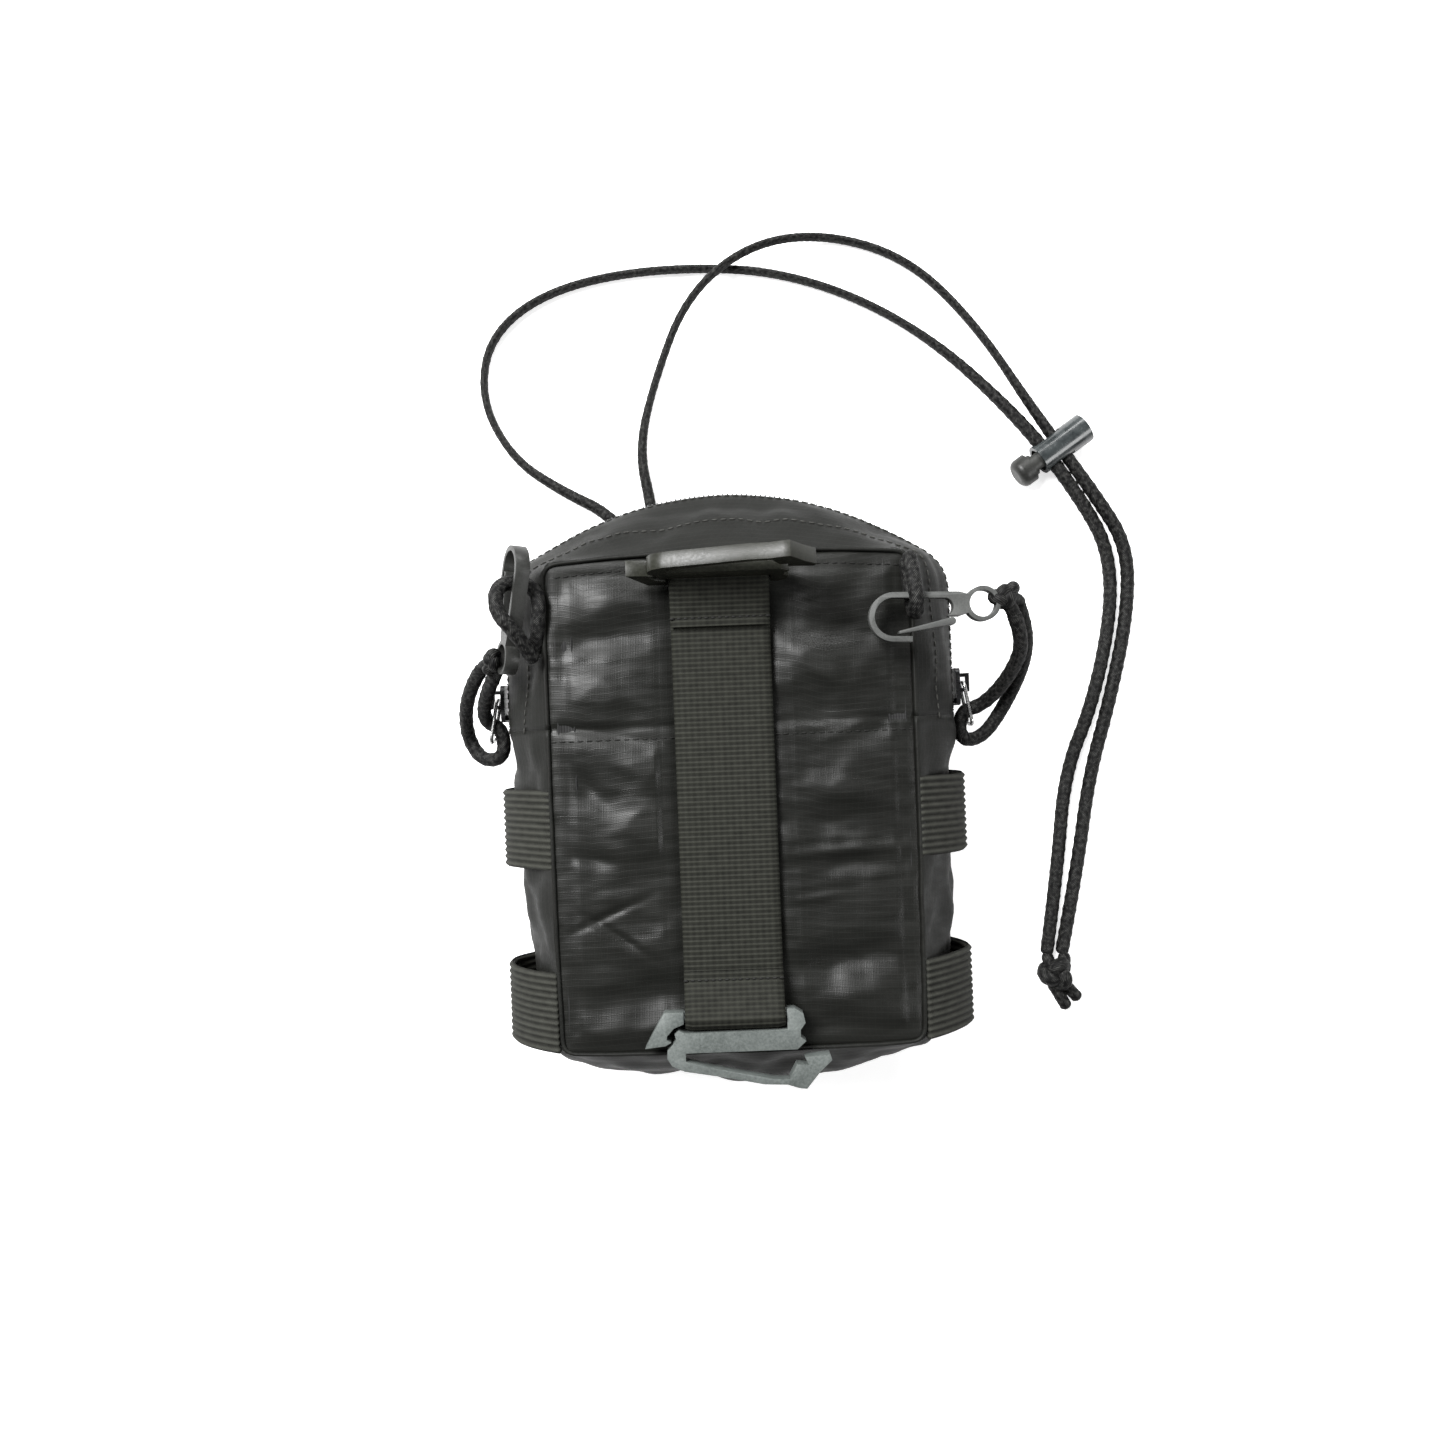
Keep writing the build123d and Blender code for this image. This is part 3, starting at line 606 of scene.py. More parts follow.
def panel_drop(x, y):
    """How far the back panel's face lies below its highest level."""
    hem_width, stitch_width, strap_hold = 5.6, 0.9, 5
    edge = min(HALF_WIDTH + 0.8 - abs(x), HALF_HEIGHT + 0.6 - abs(y))
    drop = 1.3 * math.exp(-max(edge, 0) / 1.1)
    drop += 0.45 / (1 + math.exp((edge - hem_width) / 0.35)) * (1 if edge > 1.0 else 0.6)
    hold = 1 - math.exp(-max(edge - 1.0, 0) / 4.0)
    for cx, cy, length, width, turn, depth in FOLDS:
        along = (x - cx) * math.cos(turn) + (y - cy) * math.sin(turn)
        over = -(x - cx) * math.sin(turn) + (y - cy) * math.cos(turn)
        drop += hold * depth * math.exp(-(along / length) ** 2 - (over / width) ** 2)
    drop += hold * (0.9 * crumple(x, 0.7 * y, 0, 15, 1.0) + 0.35 * crumple(x, y, 0, 6.5, 5.0))
    drop += 0.12 * crumple(0.4 * x, y, 0, 2.2, 8.0) + 0.6
    drop += 0.5 * math.exp(-((y - SEAM_Y) / stitch_width) ** 2)
    from_strap = abs(x - STRAP_X) - STRAP_WIDTH / 2
    if from_strap < strap_hold:
        drop = max(drop, 0.25) + 0.8 * math.exp(-max(from_strap, 0) / 2.5)
    return max(drop, -0.5)


def back_level(x, y):
    return -panel_drop(x, y)


def front_level(x, y):
    """The front panel's face: nearly flat on the table, and a little rumpled at its edges."""
    from_edge = min(47 - abs(x), 63.5 - abs(y))
    return 0.02 + 0.25 * (1 + crumple(x, y, 0, 9, 2.0)) * math.exp(-from_edge / 3)


def panel_rows(z, level):
    """A rounded rectangular panel as a grid, its face set by `level`."""
    round_off = 4.0
    rows = []
    for t in np.linspace(-1, 1, 161):
        y = (HALF_HEIGHT + SEAM_TUCK) * t
        into_corner = max(0.0, abs(y) - (HALF_HEIGHT - 3.3))
        inset = round_off - math.sqrt(max(0.0, round_off ** 2 - into_corner ** 2))
        half = HALF_WIDTH + 0.9 - inset
        rows.append([(half * s, y, z + level(half * s, y)) for s in np.linspace(-1, 1, 121)])
    return rows


def make_shell():
    """The cloth of the pouch: its two panels, the boot, and the strips on both sides of the zip."""
    shell = (
        ("back_panel_cloth", panel_rows(DEPTH, back_level), "ripstop", BEHIND_BACK,
         ("back_panel_lower", "back_fold", "back_panel_upper"), "flap"),
        ("front_panel_cloth", panel_rows(0.0, front_level), "ripstop", BEHIND_FRONT, ("front_panel",), None),
        ("boot_gusset_cloth", gusset_rows(0, *BOOT_GUSSET), "ripstop_side", MIDDLE,
         ("side_gusset_left", "side_gusset_right", "bottom_gusset"), None),
        ("zip_gusset_front_cloth", gusset_rows(1, *FRONT_GUSSET), "ripstop_side", MIDDLE,
         ("zip_gusset_front",), None),
        ("zip_gusset_back_cloth", gusset_rows(1, *BACK_GUSSET), "ripstop_side", MIDDLE,
         ("zip_gusset_back",), "flap"),
    )
    for name, rows, finish, away, nodes, to in shell:
        settle(sheet_piece(name, rows, CLOTH, finish, away), "pouch", nodes, to=to)


def make_zip():
    """The zip's tapes and the two halves of its coil."""
    set_back, under, over = 0.02, 0.6, 0.3  # the tape lies inside the cloth, under it, and over the chain
    low = ZIP_Z - CHAIN_GAP / 2 - CHAIN
    high = ZIP_Z + CHAIN_GAP / 2 + CHAIN
    halves = (("front", low - TAPE - under, low + over, low + CHAIN / 2, None),
              ("back", high - over, high + TAPE + under, high - CHAIN / 2, "flap"))
    for name, start, end, _, to in halves:
        rows = [lifted(whole_line(bulge_at(z) - set_back, 1), z) for z in np.linspace(start, end, 6)]
        tape = sheet_piece(f"zip_tape_{name}_cloth", rows, CLOTH, "zip_tape", MIDDLE)
        settle(tape, "pouch", (f"zip_tape_{name}",), to=to)
    chain_bulge = 0.96
    chain = resampled(whole_line(chain_bulge, 1), 600)
    for name, _, _, z, to in halves:
        row = repeat_along(f"zip_coil_{name}", lifted(chain, z), [UP] * len(chain), coil_link, "zip_coil",
                           Spacing=1.27, Loop_radius=0.55, Wire_radius=0.30)
        settle(row, "pouch", (f"zip_teeth_{name}",), to=to)


# ---------------------------------------------------------------- what repeats along a path
def coil_link(tree, sizes):
    """One turn of the zip's coil, as a small ring of wire."""
    squat = 0.8
    rings = []
    for size, sides in (("Loop radius", 10), ("Wire radius", 6)):
        ring = tree.nodes.new("GeometryNodeCurvePrimitiveCircle")
        ring.inputs["Resolution"].default_value = sides
        tree.links.new(sizes[size], ring.inputs["Radius"])
        rings.append(ring)
    sweep = tree.nodes.new("GeometryNodeCurveToMesh")
    for k, ring in enumerate(rings):
        tree.links.new(ring.outputs[0], sweep.inputs[k])
    shape = tree.nodes.new("GeometryNodeTransform")
    shape.inputs["Rotation"].default_value = (0, math.pi / 2, 0)
    shape.inputs["Scale"].default_value = (1, 1, squat)
    tree.links.new(sweep.outputs[0], shape.inputs[0])
    return shape.outputs[0]


def stitch(tree, sizes):
    """One stitch, as a short fat grain of thread."""
    grain = tree.nodes.new("GeometryNodeMeshUVSphere")
    grain.inputs["Segments"].default_value = 6
    grain.inputs["Rings"].default_value = 5
    grain.inputs["Radius"].default_value = 0.5
    stretch = tree.nodes.new("ShaderNodeCombineXYZ")
    for k, size in enumerate(("Length", "Thickness", "Thickness")):
        tree.links.new(sizes[size], stretch.inputs[k])
    shape = tree.nodes.new("GeometryNodeTransform")
    tree.links.new(grain.outputs[0], shape.inputs[0])
    tree.links.new(stretch.outputs[0], shape.inputs["Scale"])
    return shape.outputs[0]


def repeat_along(name, points, ups, item, finish, **sizes):
    """One item every Spacing along the points, its X along the path and its Z along `ups`.
    The sizes are in millimetres, and become the tree's named inputs.
    """
    mesh = bpy.data.meshes.new(name)
    edges = [(k, k + 1) for k in range(len(points) - 1)]
    mesh.from_pydata((np.asarray(points) * MM).tolist(), edges, [])
    up = mesh.attributes.new("up", "FLOAT_VECTOR", "POINT")
    up.data.foreach_set("vector", np.asarray(ups, float).ravel())
    host = placed(name, mesh)
    tree = bpy.data.node_groups.new(name, "GeometryNodeTree")
    tree.interface.new_socket("Path", in_out="INPUT", socket_type="NodeSocketGeometry")
    inputs = {}
    for size in sizes:
        word = size.replace("_", " ")
        inputs[size] = tree.interface.new_socket(word, in_out="INPUT", socket_type="NodeSocketFloat")
    tree.interface.new_socket("Row", in_out="OUTPUT", socket_type="NodeSocketGeometry")
    start, end = tree.nodes.new("NodeGroupInput"), tree.nodes.new("NodeGroupOutput")
    curve = tree.nodes.new("GeometryNodeMeshToCurve")
    spots = tree.nodes.new("GeometryNodeCurveToPoints")
    spots.mode = "LENGTH"
    named = tree.nodes.new("GeometryNodeInputNamedAttribute")
    named.data_type = "FLOAT_VECTOR"
    named.inputs["Name"].default_value = "up"
    face_on = tree.nodes.new("FunctionNodeAlignRotationToVector")
    face_on.axis = "X"
    stand = tree.nodes.new("FunctionNodeAlignRotationToVector")
    stand.axis, stand.pivot_axis = "Z", "X"
    place = tree.nodes.new("GeometryNodeInstanceOnPoints")
    real = tree.nodes.new("GeometryNodeRealizeInstances")
    paint = tree.nodes.new("GeometryNodeSetMaterial")
    paint.inputs["Material"].default_value = FINISH[finish]
    wires = [
        (start.outputs["Path"], curve.inputs[0]),
        (curve.outputs[0], spots.inputs["Curve"]),
        (start.outputs["Spacing"], spots.inputs["Length"]),
        (spots.outputs["Points"], place.inputs["Points"]),
        (spots.outputs["Tangent"], face_on.inputs["Vector"]),
        (face_on.outputs[0], stand.inputs["Rotation"]),
        (named.outputs["Attribute"], stand.inputs["Vector"]),
        (stand.outputs[0], place.inputs["Rotation"]),
        (item(tree, start.outputs), place.inputs["Instance"]),
        (place.outputs[0], real.inputs[0]),
        (real.outputs[0], paint.inputs[0]),
        (paint.outputs[0], end.inputs[0]),
    ]
    for source, target in wires:
        tree.links.new(source, target)
    modifier = host.modifiers.new("row", "NODES")
    modifier.node_group = tree
    for size, value in sizes.items():
        modifier[inputs[size].identifier] = value * MM
    bake(host)
    host.data.shade_smooth()
    return host


def stitched(name, points, ups, spacing, body, finish="thread", to=None, size=(1.7, 0.42)):
    """A row of stitches, settled on its body."""
    row = repeat_along(name, points, ups, stitch, finish, Spacing=spacing, Length=size[0], Thickness=size[1])
    return settle(row, body, to=to)


def on_panel(points):
    return [(x, y, PANEL_LEVEL - panel_drop(x, y)) for x, y in points]


def make_stitches():
    """Topstitching on the back panel and round the zip."""
    panel_spacing, tape_spacing, proud = 2.2, 2.3, 0.15
    arch = resampled([(-43, 58.6), (-30, 59.6), (0, 60.1), (30, 59.6), (43, 58.6)], 90)
    stitched("arch_stitches", on_panel(arch), [UP] * 90, panel_spacing, "flap")
    below_seam = SEAM_Y - 3.2
    for side, start, end in (("left", -45.5, -15.2), ("right", 11.2, 45.5)):
        run = resampled([(start, below_seam), (end, below_seam)], 60)
        stitched(f"cross_stitches_{side}", on_panel(run), [UP] * 60, panel_spacing, "pouch")
    rows = (("front", 16.9, FRONT_GUSSET, None), ("back", 29.1, BACK_GUSSET, "flap"),
            ("arch", 38.5, BACK_GUSSET, "flap"))
    for name, z, gusset, to in rows:
        line = resampled(gusset_line(1, z, *gusset), 400)
        out = line * [1 / REACH[0], 1 / REACH[1], 0]
        lift = out / np.linalg.norm(out, axis=1)[:, None] * proud
        stitched(f"tape_stitches_{name}", line + lift, out, tape_spacing, "pouch", "light_thread", to)


# ---------------------------------------------------------------- webbing and elastic
def ribbon(name, centre, side, width, thick, finish, along_rib=(0, 1), across_rib=(0, 1), edge=3):
    """A flat band along `centre`, as wide as `side` points, with woven ribs of a depth and pitch each way."""
    centre = np.asarray(centre, float)
    side = np.asarray(side, float) / np.linalg.norm(side)
    normal = np.cross(side, headings(centre))
    normal /= np.linalg.norm(normal, axis=1)[:, None]
    far = distances(centre)
    along_depth, along_pitch = along_rib
    across_depth, across_pitch = across_rib
    count = max(9, int(width / across_pitch * 4 if across_depth else 15))
    profile = []
    for s in np.linspace(-1, 1, count):
        into_edge = max(0.0, (abs(s) - 1 + edge / width) / (edge / width))
        half = thick / 2 * (0.35 + 0.65 * math.sqrt(max(0.0, 1 - into_edge ** 2)))
        half -= across_depth * math.cos(2 * math.pi * s * width / 2 / across_pitch)
        profile.append((s * width / 2, half))
    ring = profile + [(x, -h) for x, h in reversed(profile)]
    points, uvs = [], []
    for k, at in enumerate(centre):
        wave = -along_depth * math.cos(2 * math.pi * far[k] / along_pitch)
        for x, h in ring:
            points.append(at + side * x + normal[k] * (h + math.copysign(wave, h)))
            uvs.append((x * MM, far[k] * MM))
    size = len(ring)
    faces = ring_faces(len(centre), size)
    last = (len(centre) - 1) * size
    for j in range(count - 1):
        faces.append((j + 1, j, size - 1 - j, size - 2 - j))
        faces.append((last + j, last + j + 1, last + size - 2 - j, last + size - 1 - j))
    piece = new_piece(name, points, faces, finish, uvs)
    tidy_normals(piece)
    return piece


def round_bar(y, start, end, count=14):
    """The strap's turn round a hook's bar."""
    radius = 2.6
    turn = [math.radians(start + (end - start) * k / (count - 1)) for k in range(count)]
    return [(y + radius * math.cos(a), BAR_Z + radius * math.sin(a)) for a in turn]


def make_strap():
    """The webbing down the back, turned round both hooks' bars and sewn down with bar tacks."""
    end_z, tack_z, stitch_z, end_run, half_tack = 48.5, 48.6, 49.30, 2.5, 12.0
    line = [(TACK_YS[0] + end_run, end_z), (TACK_YS[0], tack_z)]
    line += round_bar(BAR_YS[0], 95, 270)
    line += [(-30, STRAP_Z), (0, STRAP_Z), (40, STRAP_Z)]
    line += round_bar(BAR_YS[1], -90, 85)
    line += [(TACK_YS[1], tack_z), (TACK_YS[1] - end_run, end_z)]
    line = resampled(line, 760)
    centre = np.column_stack([np.full(len(line), STRAP_X), line])
    strap = ribbon("strap_webbing", centre, (1, 0, 0), STRAP_WIDTH, STRAP_THICK - 0.12, "webbing",
                   along_rib=(0.13, WEB_PITCH), edge=1.2)
    settle(strap, "pouch", ("strap_lower", "strap_fold", "strap_upper"), to="flap")
    for name, y, body in (("lower", TACK_YS[0] + 0.4, "pouch"), ("upper", TACK_YS[1] - 0.4, "flap")):
        points = [(x, y, stitch_z) for x in np.linspace(STRAP_X - half_tack, STRAP_X + half_tack, 40)]
        stitched(f"bar_tack_{name}", points, [UP] * 40, 1.6, body, size=(1.5, 0.75))


def make_elastic():
    """Ribbed elastic bands, sewn down at both seams and standing off the gusset."""
    seam, crown = ((46.9, 44.6), (46.9, 1.4)), (61.7, 23.0)
    for place, y in zip(("upper", "lower"), ELASTIC_YS):
        for word, side in (("right", 1), ("left", -1)):
            arc = bowed(seam[0], crown, seam[1], 60)
            sway = 0.5 * np.sin(np.linspace(0, math.pi * 3, 60) + side + y)
            centre = [(side * (x - 0.2 * abs(s)), y + 0.3 * s, z) for (x, z), s in zip(arc, sway)]
            band = ribbon(f"elastic_{place}_{word}", centre, (0, 1, 0), ELASTIC_WIDTH, 1.15, "elastic",
                          across_rib=(0.28, 1.7), edge=1.0)
            settle(band, "pouch", (f"elastic_loop_{place}_{word}",))


def make_bindings():
    """Binding tape over the seam allowances inside the pouch."""
    half_w, half_h = HALF_WIDTH - 3.9, HALF_HEIGHT - 3.9
    corners = [(half_w, 0), (half_w, half_h), (-half_w, half_h), (-half_w, -half_h), (half_w, -half_h),
               (half_w, 0)]
    tapes = (("front", 1.6, -1, ("seam_binding_front",), None),
             ("back", 44.1, 1, ("seam_binding_back_lower", "seam_binding_back_upper"), "flap"))
    section = ((-2.4, 0.25), (-1.9, -0.1), (0.0, -0.15), (1.9, -0.1), (2.4, 0.25))
    for name, z, way, nodes, to in tapes:
        rows = []
        for off, rise in section:
            scale_w, scale_h = (half_w + off) / half_w, (half_h + off) / half_h
            rows.append([(x * scale_w, y * scale_h, z + way * rise) for x, y in resampled(corners, 240)])
        tape = sheet_piece(f"binding_{name}_tape", rows, 0.45, "binding", (0, 0, 100 * way))
        settle(tape, "pouch", nodes, to=to)


# ---------------------------------------------------------------- cords
def at_lock(along, side):
    """A point beside the cord lock, along the cords and on one side of their middle."""
    ux, uy, apart = math.cos(LOCK_TURN), math.sin(LOCK_TURN), 2.0
    x = LOCK_AT[0] - uy * along + ux * apart * side
    y = LOCK_AT[1] + ux * along + uy * apart * side
    return (x, y, LOCK_Z)


ROUTES = {
    "corner_loop_right": [(45.2, 60.0, 48.1), (46.4, 45.7, 48.2), (46.4, 45.7, 56.6), (46.0, 53.2, 56.5),
                          (45.3, 60.4, 52.4)],
    "corner_loop_left": [(-49.1, 37.5, 46.9), (-52.6, 44.2, 52.1), (-57.8, 49.9, 53.1), (-57.2, 57.6, 50.2),
                         (-48.2, 57.0, 46.3), (-47.4, 47.8, 46.8), (-49.8, 39.8, 43.4)],
    "pull_cord_right": [(71.2, 45.2, 49.4), (75.0, 38.4, 45.5), (73.6, 30.0, 35.0), (68.6, 22.4, 23.8),
                        (61.9, 20.7, 23.2), (61.9, 12.8, 22.4), (68.6, 13.4, 20.0), (74.4, 22.0, 22.6),
                        (77.4, 32.8, 34.0), (76.6, 41.6, 41.6), (73.2, 47.6, 46.6)],
    "pull_cord_left": [(-60.2, 35.4, 39.8), (-64.4, 30.0, 33.6), (-67.0, 23.0, 23.9), (-61.9, 20.9, 23.2),
                       (-61.9, 12.8, 22.4), (-68.4, 12.2, 19.8), (-72.4, 18.4, 18.6), (-71.4, 26.6, 26.2),
                       (-67.2, 34.0, 33.8), (-64.2, 36.8, 37.0)],
    "leash_strand_left": [(-25, 71, 2.1), (-31.5, 81, 2), (-46, 88.5, 2), (-60, 98.5, 2), (-68.5, 116, 2),
                          (-65, 134.5, 2), (-47, 147, 2), (-16, 152, 2), (22, 149.5, 2), (58, 132.5, 2),
                          at_lock(11, -1), at_lock(-17, -1), (110.5, 66, 2), (110.8, 48, 2), (104.5, 22, 2),
                          (95.5, 2, 2), (92.3, -26, 2), (88.3, -50, 2)],
    "leash_strand_right": [(-19, 71, 2.1), (-20.5, 83, 2), (-23.5, 100, 2), (-18, 120, 2), (-8, 142, 6.2),
                           (10, 156, 6.2), (32, 160, 2), (56, 152, 2), (75, 132, 2), at_lock(11, 1),
                           at_lock(-17, 1), (116, 67, 2), (115.5, 48, 2), (109.5, 23, 2), (102.5, 1, 2),
                           (98, -26, 2), (92.6, -50, 2)],
}


def smooth_line(points):
    """Points along the smooth line that a cord takes through its route, in millimetres."""
    data = bpy.data.curves.new("route", "CURVE")
    data.dimensions = "3D"
    data.resolution_u = 24
    spline = data.splines.new("NURBS")
    spline.points.add(len(points) - 1)
    for spot, at in zip(spline.points, points):
        spot.co = (*(c * MM for c in at), 1)
    spline.order_u = 3
    spline.use_endpoint_u = True
    holder = placed("route", data)
    graph = bpy.context.evaluated_depsgraph_get()
    line = bpy.data.meshes.new_from_object(holder.evaluated_get(graph))
    found = np.array([v.co[:] for v in line.vertices]) / MM
    bpy.data.objects.remove(holder)
    bpy.data.meshes.remove(line)
    return found


def tube_points(line, radii, sides, braid, flat):
    """Rings of points round a line, braided in relief, and narrowed in plan where `flat` is below 1."""
    strands, braid_pitch = 8, 3.4
    tangent = headings(line)
    across = np.cross(tangent[0], (0.3, 0.2, 0.93))
    across /= np.linalg.norm(across)
    far = distances(line)
    angles = np.linspace(0, 2 * math.pi, sides, endpoint=False)
    points, uvs = [], []
    for k, at in enumerate(line):
        across = across - tangent[k] * (across @ tangent[k])
        across /= np.linalg.norm(across)
        up = np.cross(tangent[k], across)
        left = angles * strands / (2 * math.pi) + far[k] / braid_pitch
        right = angles * strands / (2 * math.pi) - far[k] / braid_pitch
        relief = np.cos(math.pi * left) ** 2 * np.cos(math.pi * right) ** 2
        radius = radii[k] * (1 + braid * (relief - 0.5))
        ring = np.outer(np.cos(angles) * radius, across) + np.outer(np.sin(angles) * radius, up)
        ring[:, :2] *= flat(k / len(line))
        points.extend(at + ring)
        uvs.extend((a * radii[k] * MM, far[k] * MM) for a in angles)
    return points, uvs


def full(_):
    """A cord that keeps its round section all along."""
    return 1.0


def tube(name, line, radius, finish="cord", sides=28, braid=0.09, flat=full):
    """A closed cord of the given radius along a line of points, narrowed at both tips."""
    step, tip, next_to_tip = 0.5, 0.55, 0.9
    line = np.asarray(line, float)
    line = resampled(line, max(12, int(distances(line)[-1] / step)))
    radii = np.full(len(line), float(radius))
    radii[0] = radii[-1] = radius * tip
    radii[1] = radii[-2] = radius * next_to_tip
    points, uvs = tube_points(line, radii, sides, braid, flat)
    faces = ring_faces(len(line), sides)
    last = (len(line) - 1) * sides
    faces.append(tuple(range(sides))[::-1])
    faces.append(tuple(last + j for j in range(sides)))
    piece = new_piece(name, points, faces, finish, uvs)
    tidy_normals(piece)
    return piece, line


def knot_line(centre, half, turn):
    """A tight overhand turn of cord that fills a lump of the given half sizes."""
    t = np.linspace(0, 2 * math.pi, 60)
    x = (np.sin(t) + 2 * np.sin(2 * t)) / 3
    y = (np.cos(t) - 2 * np.cos(2 * t)) / 3
    z = -np.sin(3 * t)
    shape = np.stack([x, y, z], axis=1)
    shape = shape @ np.array(Matrix.Rotation(turn, 3, "Z")).T
    return shape * np.asarray(half) + np.asarray(centre)


def knot(name, centre, half, radius, turn, stub, node, route):
    """A knot with its cut end, and the stretches that lead into it from both ends of a cord's route."""
    def short(part, line):
        return tube(f"{name}{part}", line, radius, sides=18, braid=0.1)[0]

    start, end = stub
    inside_cord, steps = 1.2, 12
    middle = (np.asarray(start) + np.asarray(end)) / 2 + (0, 0, 0.6)
    parts = [short("", knot_line(centre, np.asarray(half) - radius, turn)),
             short("_stub0", bowed(start, middle, end, steps))]
    for k, (tip, before) in enumerate(((route[0], route[1]), (route[-1], route[-2]))):
        tip, before = np.asarray(tip, float), np.asarray(before, float)
        heading = (tip - before) / np.linalg.norm(tip - before)
        parts.append(short(f"_lead{k}", bowed(tip - heading * inside_cord, tip + heading, centre, steps)))
    return settle(join_pieces(parts), "flap", (node,))


def join_pieces(parts):
    """Joins meshes that share their materials into the first of them."""
    work = bmesh.new()
    for part in parts:
        work.from_mesh(part.data)
    work.to_mesh(parts[0].data)
    work.free()
    for part in parts[1:]:
        bpy.data.objects.remove(part)
    return parts[0]


def on_edge(share):
    """The flat leash cord stands on edge round its loop and lies full where its strands run together."""
    loop_share, ease, narrowing = 0.62, 0.12, 0.42
    if share >= loop_share:
        return 1.0
    return 1.0 - narrowing * min(1.0, share / ease, (loop_share - share) / ease)


CORDS = {  # body, where the far end goes, how it lies, and declared length in millimetres
    "corner_loop_right": ("flap", "object", "taut", 33.0),
    "corner_loop_left": ("flap", "object", "taut", 48.0),
    "pull_cord_right": ("flap", "object", "hanging", 98.0),
    "pull_cord_left": ("flap", "object", "hanging", 70.0),
    "leash_strand_left": ("pouch", "knot", "loose", 410.0),
    "leash_strand_right": ("pouch", "object", "loose", 362.0),
}
PULLED = {  # the slider that draws each pull cord along, and the stretch that gives
    "pull_cord_right": ("slider_right", (72.0, 42.0, 42.0), (66.0, 22.0, 25.0)),
    "pull_cord_left": ("slider_left", (-63.0, 33.0, 38.0), (-66.0, 22.0, 25.0)),
}


def make_cords():
    """The six lengths of cord and the knots on them."""
    knots = {
        "pull_cord_right": knot("pull_knot_right_turns", (68.4, 48.8, 51.2), (3.6, 3.3, 3.8), 1.75, 0.6,
                                ((69.6, 50.0, 52.0), (71.6, 51.2, 50.2)), "pull_knot_right",
                                ROUTES["pull_cord_right"]),
        "pull_cord_left": knot("pull_knot_left_turns", (-60.6, 38.6, 41.6), (2.5, 3.4, 3.4), 1.6, 0.2,
                               ((-61.0, 37.2, 41.4), (-62.2, 35.8, 40.6)), "pull_knot_left",
                               ROUTES["pull_cord_left"]),
        "leash_strand_left": leash_knot(),
    }
    for name, route in ROUTES.items():
        body, far_end, lay, length = CORDS[name]
        section = on_edge if name.startswith("leash") else full
        piece, path = tube(f"{name}_braid", smooth_line(route), CORD / 2, flat=section)
        to, bend = None, None
        if name in PULLED:
            to, start, end = PULLED[name]
            bend = [c * MM for c in start], [c * MM for c in end]
        settle(piece, body, (name,), to)


def leash_knot():
    """The knot that joins the leash's strands, and their fused, flared ends."""
    turns = tube("leash_knot_turns", knot_line((90.4, -55.3, 3.95), (3.4, 3.2, 1.6), 0.4), 2.1,
                 sides=20, braid=0.1)[0]
    turn = math.radians(36)
    along = np.array([math.sin(turn), -math.cos(turn), 0])
    side = np.array([math.cos(turn), math.sin(turn), 0])
    line = [np.array([90.0, -57.0, 2.6]) + along * d for d in np.linspace(0, 9.0, 20)]
    tail = []
    for k, start in enumerate(((88.3, -49.8, 2.0), (92.6, -49.8, 2.0))):
        lead = bowed(start, (start[0] + 0.4, -52.2, 3.4), (90.4 + (k - 0.5) * 1.5, -55.0, 4.2), 12)
        tail.append(tube(f"leash_lead{k}", lead, 1.8, sides=20, braid=0.09)[0])
    for strand in (-1, 1):
        path = [p + side * strand * (1.0 + 0.06 * k) for k, p in enumerate(line)]
        tail.append(tube(f"leash_tail{strand + 1}", path, 1.75, sides=18, braid=0.08)[0])
    return settle(join_pieces([turns] + tail), "pouch", ("leash_knot",))


def make_tab():
    """The folded webbing tab that holds the leash."""
    x, root_y, fold_y, low_z, high_z = -22.0, 60.5, 69.2, 1.0, 3.1
    turn = np.linspace(0, math.pi, 9)
    line = [(root_y, low_z), (fold_y, low_z)]
    line += [(fold_y + math.sin(a), 2.05 - 1.05 * math.cos(a)) for a in turn]
    line += [(fold_y, high_z), (root_y, high_z)]
    line = resampled(line, 70)
    centre = np.column_stack([np.full(len(line), x), line])
    tab = ribbon("leash_tab_webbing", centre, (1, 0, 0), 15.0, 1.3, "webbing",
                 along_rib=(0.05, WEB_PITCH), edge=1.0)
    settle(tab, "pouch", ("leash_tab",))


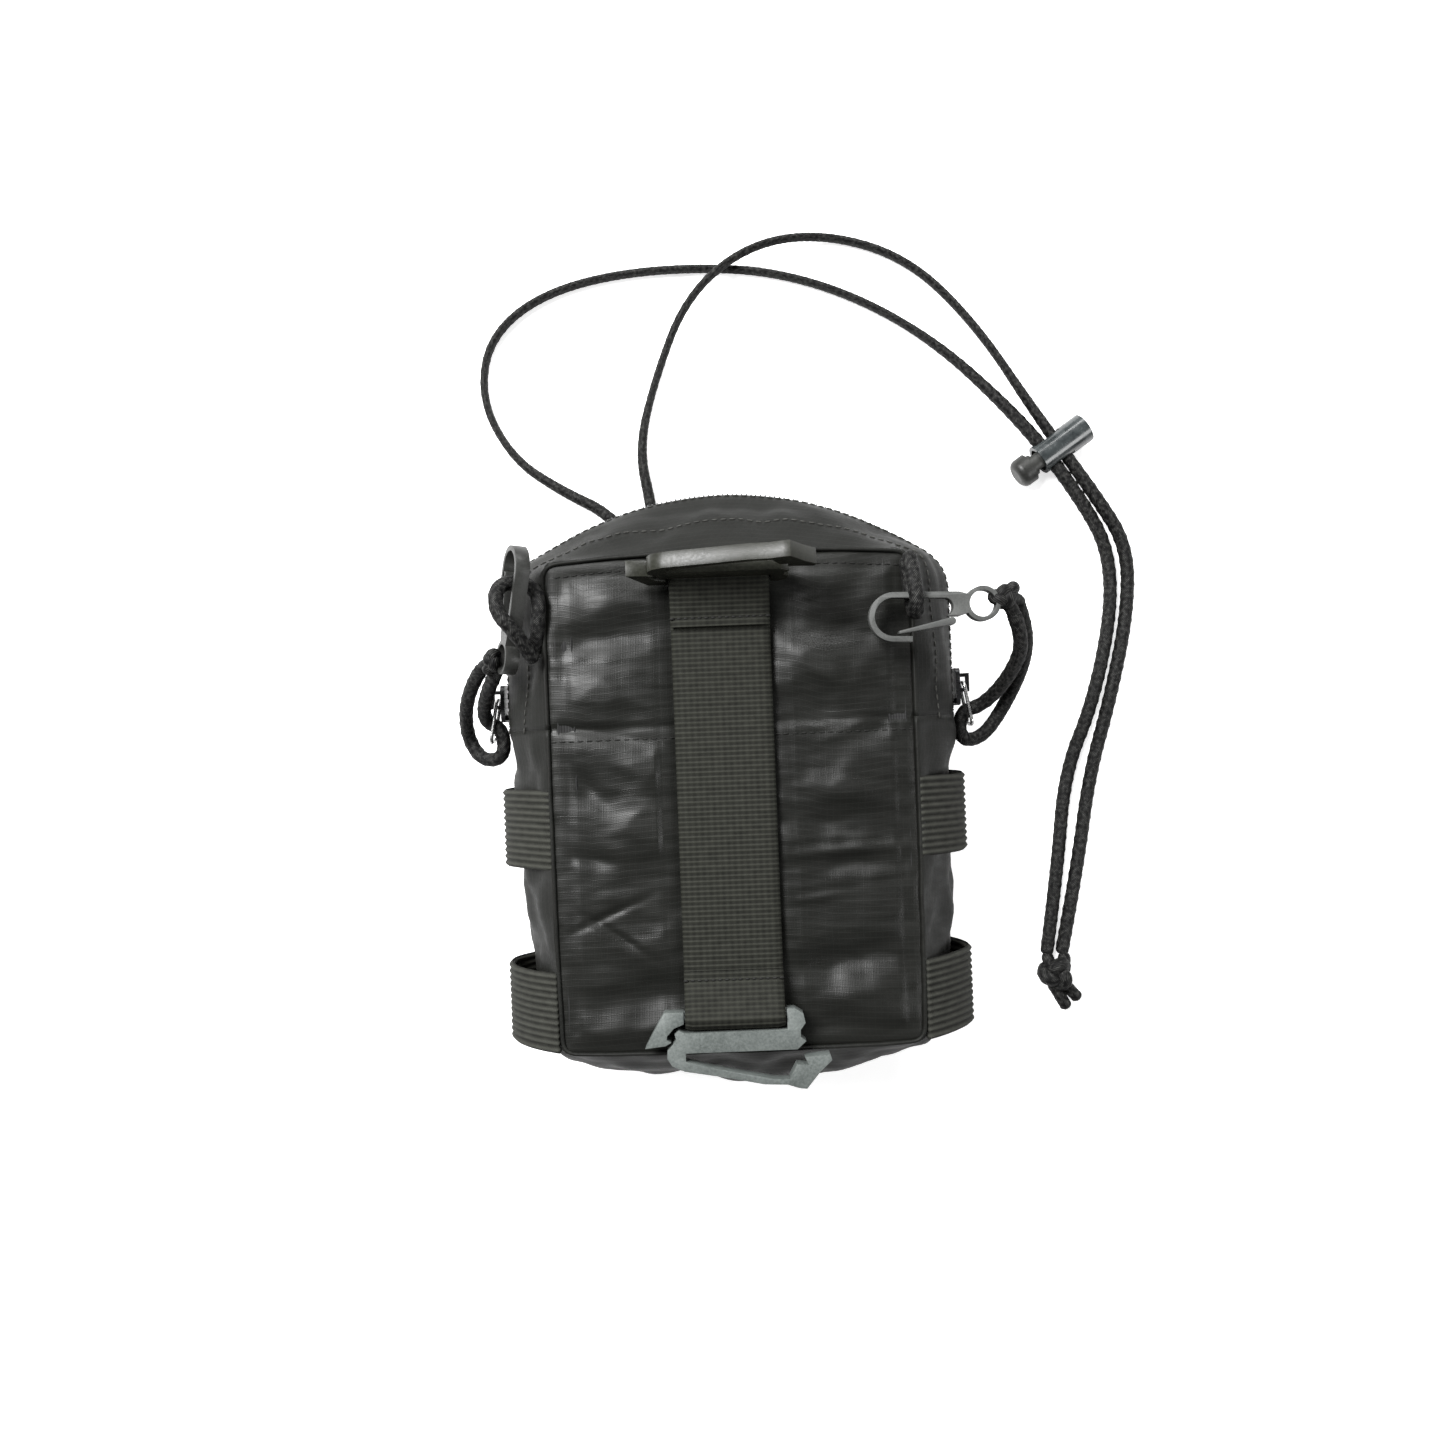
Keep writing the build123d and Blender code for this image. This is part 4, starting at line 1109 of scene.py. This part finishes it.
# ---------------------------------------------------------------- moulded and metal parts
def softened(node, width, finish, slot, body):
    """A CAD part with its edges broken, as a moulding or a plated part has."""
    flat_within, bevel_above, crease_above = (math.radians(a) for a in (1.0, 35, 40))
    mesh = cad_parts[node].data.copy()
    work = bmesh.new()
    work.from_mesh(mesh)
    bmesh.ops.remove_doubles(work, verts=work.verts, dist=1e-6)
    bmesh.ops.dissolve_limit(work, angle_limit=flat_within, verts=work.verts, edges=work.edges)
    work.to_mesh(mesh)
    work.free()
    mesh.materials.clear()
    mesh.materials.append(FINISH[finish])
    piece = placed(f"{node}_moulding", mesh)
    soft = piece.modifiers.new("edges", "BEVEL")
    soft.width = width * MM
    soft.segments = 2
    soft.limit_method = "ANGLE"
    soft.angle_limit = bevel_above
    soft.harden_normals = False
    bake(piece)
    piece.data.shade_smooth()
    piece.data.set_sharp_from_angle(angle=crease_above)
    return settle(piece, body, (node,))


def make_spring():
    """The coil spring behind the lock's plunger."""
    axis = np.array([math.cos(LOCK_TURN), math.sin(LOCK_TURN), 0])
    side = np.array([-axis[1], axis[0], 0])
    lock = np.array([*LOCK_AT, LOCK_Z])
    back, front, reach, wire, turns, steps = 9.2, 4.85, 2.45, 0.28, 5, 160
    line = []
    for k in range(steps):
        turn = 2 * math.pi * turns * k / (steps - 1)
        centre = lock + axis * (front + (back - front) * k / (steps - 1))
        line.append(centre + side * reach * math.cos(turn) + np.array([0, 0, reach * math.sin(turn)]))
    spring = tube("lock_coil_spring", line, wire, "spring_steel", sides=10, braid=0.0)[0]
    settle(spring, "lock_barrel", ("lock_spring",))
    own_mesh(spring)


MOULDINGS = (  # CAD node, width of its broken edges, finish, slot and body
    ("hook_bottom", 0.45, "hook_plastic", "hook_plastic", "hook_bottom"),
    # the top hook's finish is the hook plastic with painted shade
    ("hook_top", 0.45, "top_hook_painted_shade", "hook_plastic", "hook_top"),
    ("clip_left", 0.25, "clip_dark", "clip_plastic", "flap"),
    ("clip_right", 0.25, "clip_plastic", "clip_plastic", "flap"),
    ("clip_gate_left", 0.2, "clip_dark", "clip_plastic", "gate_left"),
    ("clip_gate_right", 0.2, "clip_plastic", "clip_plastic", "gate_right"),
)
SHOWN_AS_BUILT = {  # CAD nodes that are shown as they are, and their finish
    "slider_left": "slider_black",
    "slider_right": "slider_black",
    "slider_pull_left": "bright_wire",
    "slider_pull_right": "bright_wire",
    "lock_barrel": "lock_plastic",
    "lock_plunger": "clip_dark",
}


def make_hardware():
    """Hooks, clips, sliders, pull rings and the cord lock."""
    for moulding in MOULDINGS:
        softened(*moulding)
    for node, finish in SHOWN_AS_BUILT.items():
        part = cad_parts[node]
        part.data.materials.clear()
        part.data.materials.append(FINISH[finish])
    make_spring()


make_camera()
make_floor()
make_light()
make_cords()
make_shell()
make_zip()
make_strap()
make_elastic()
make_bindings()
make_stitches()
make_tab()
make_hardware()
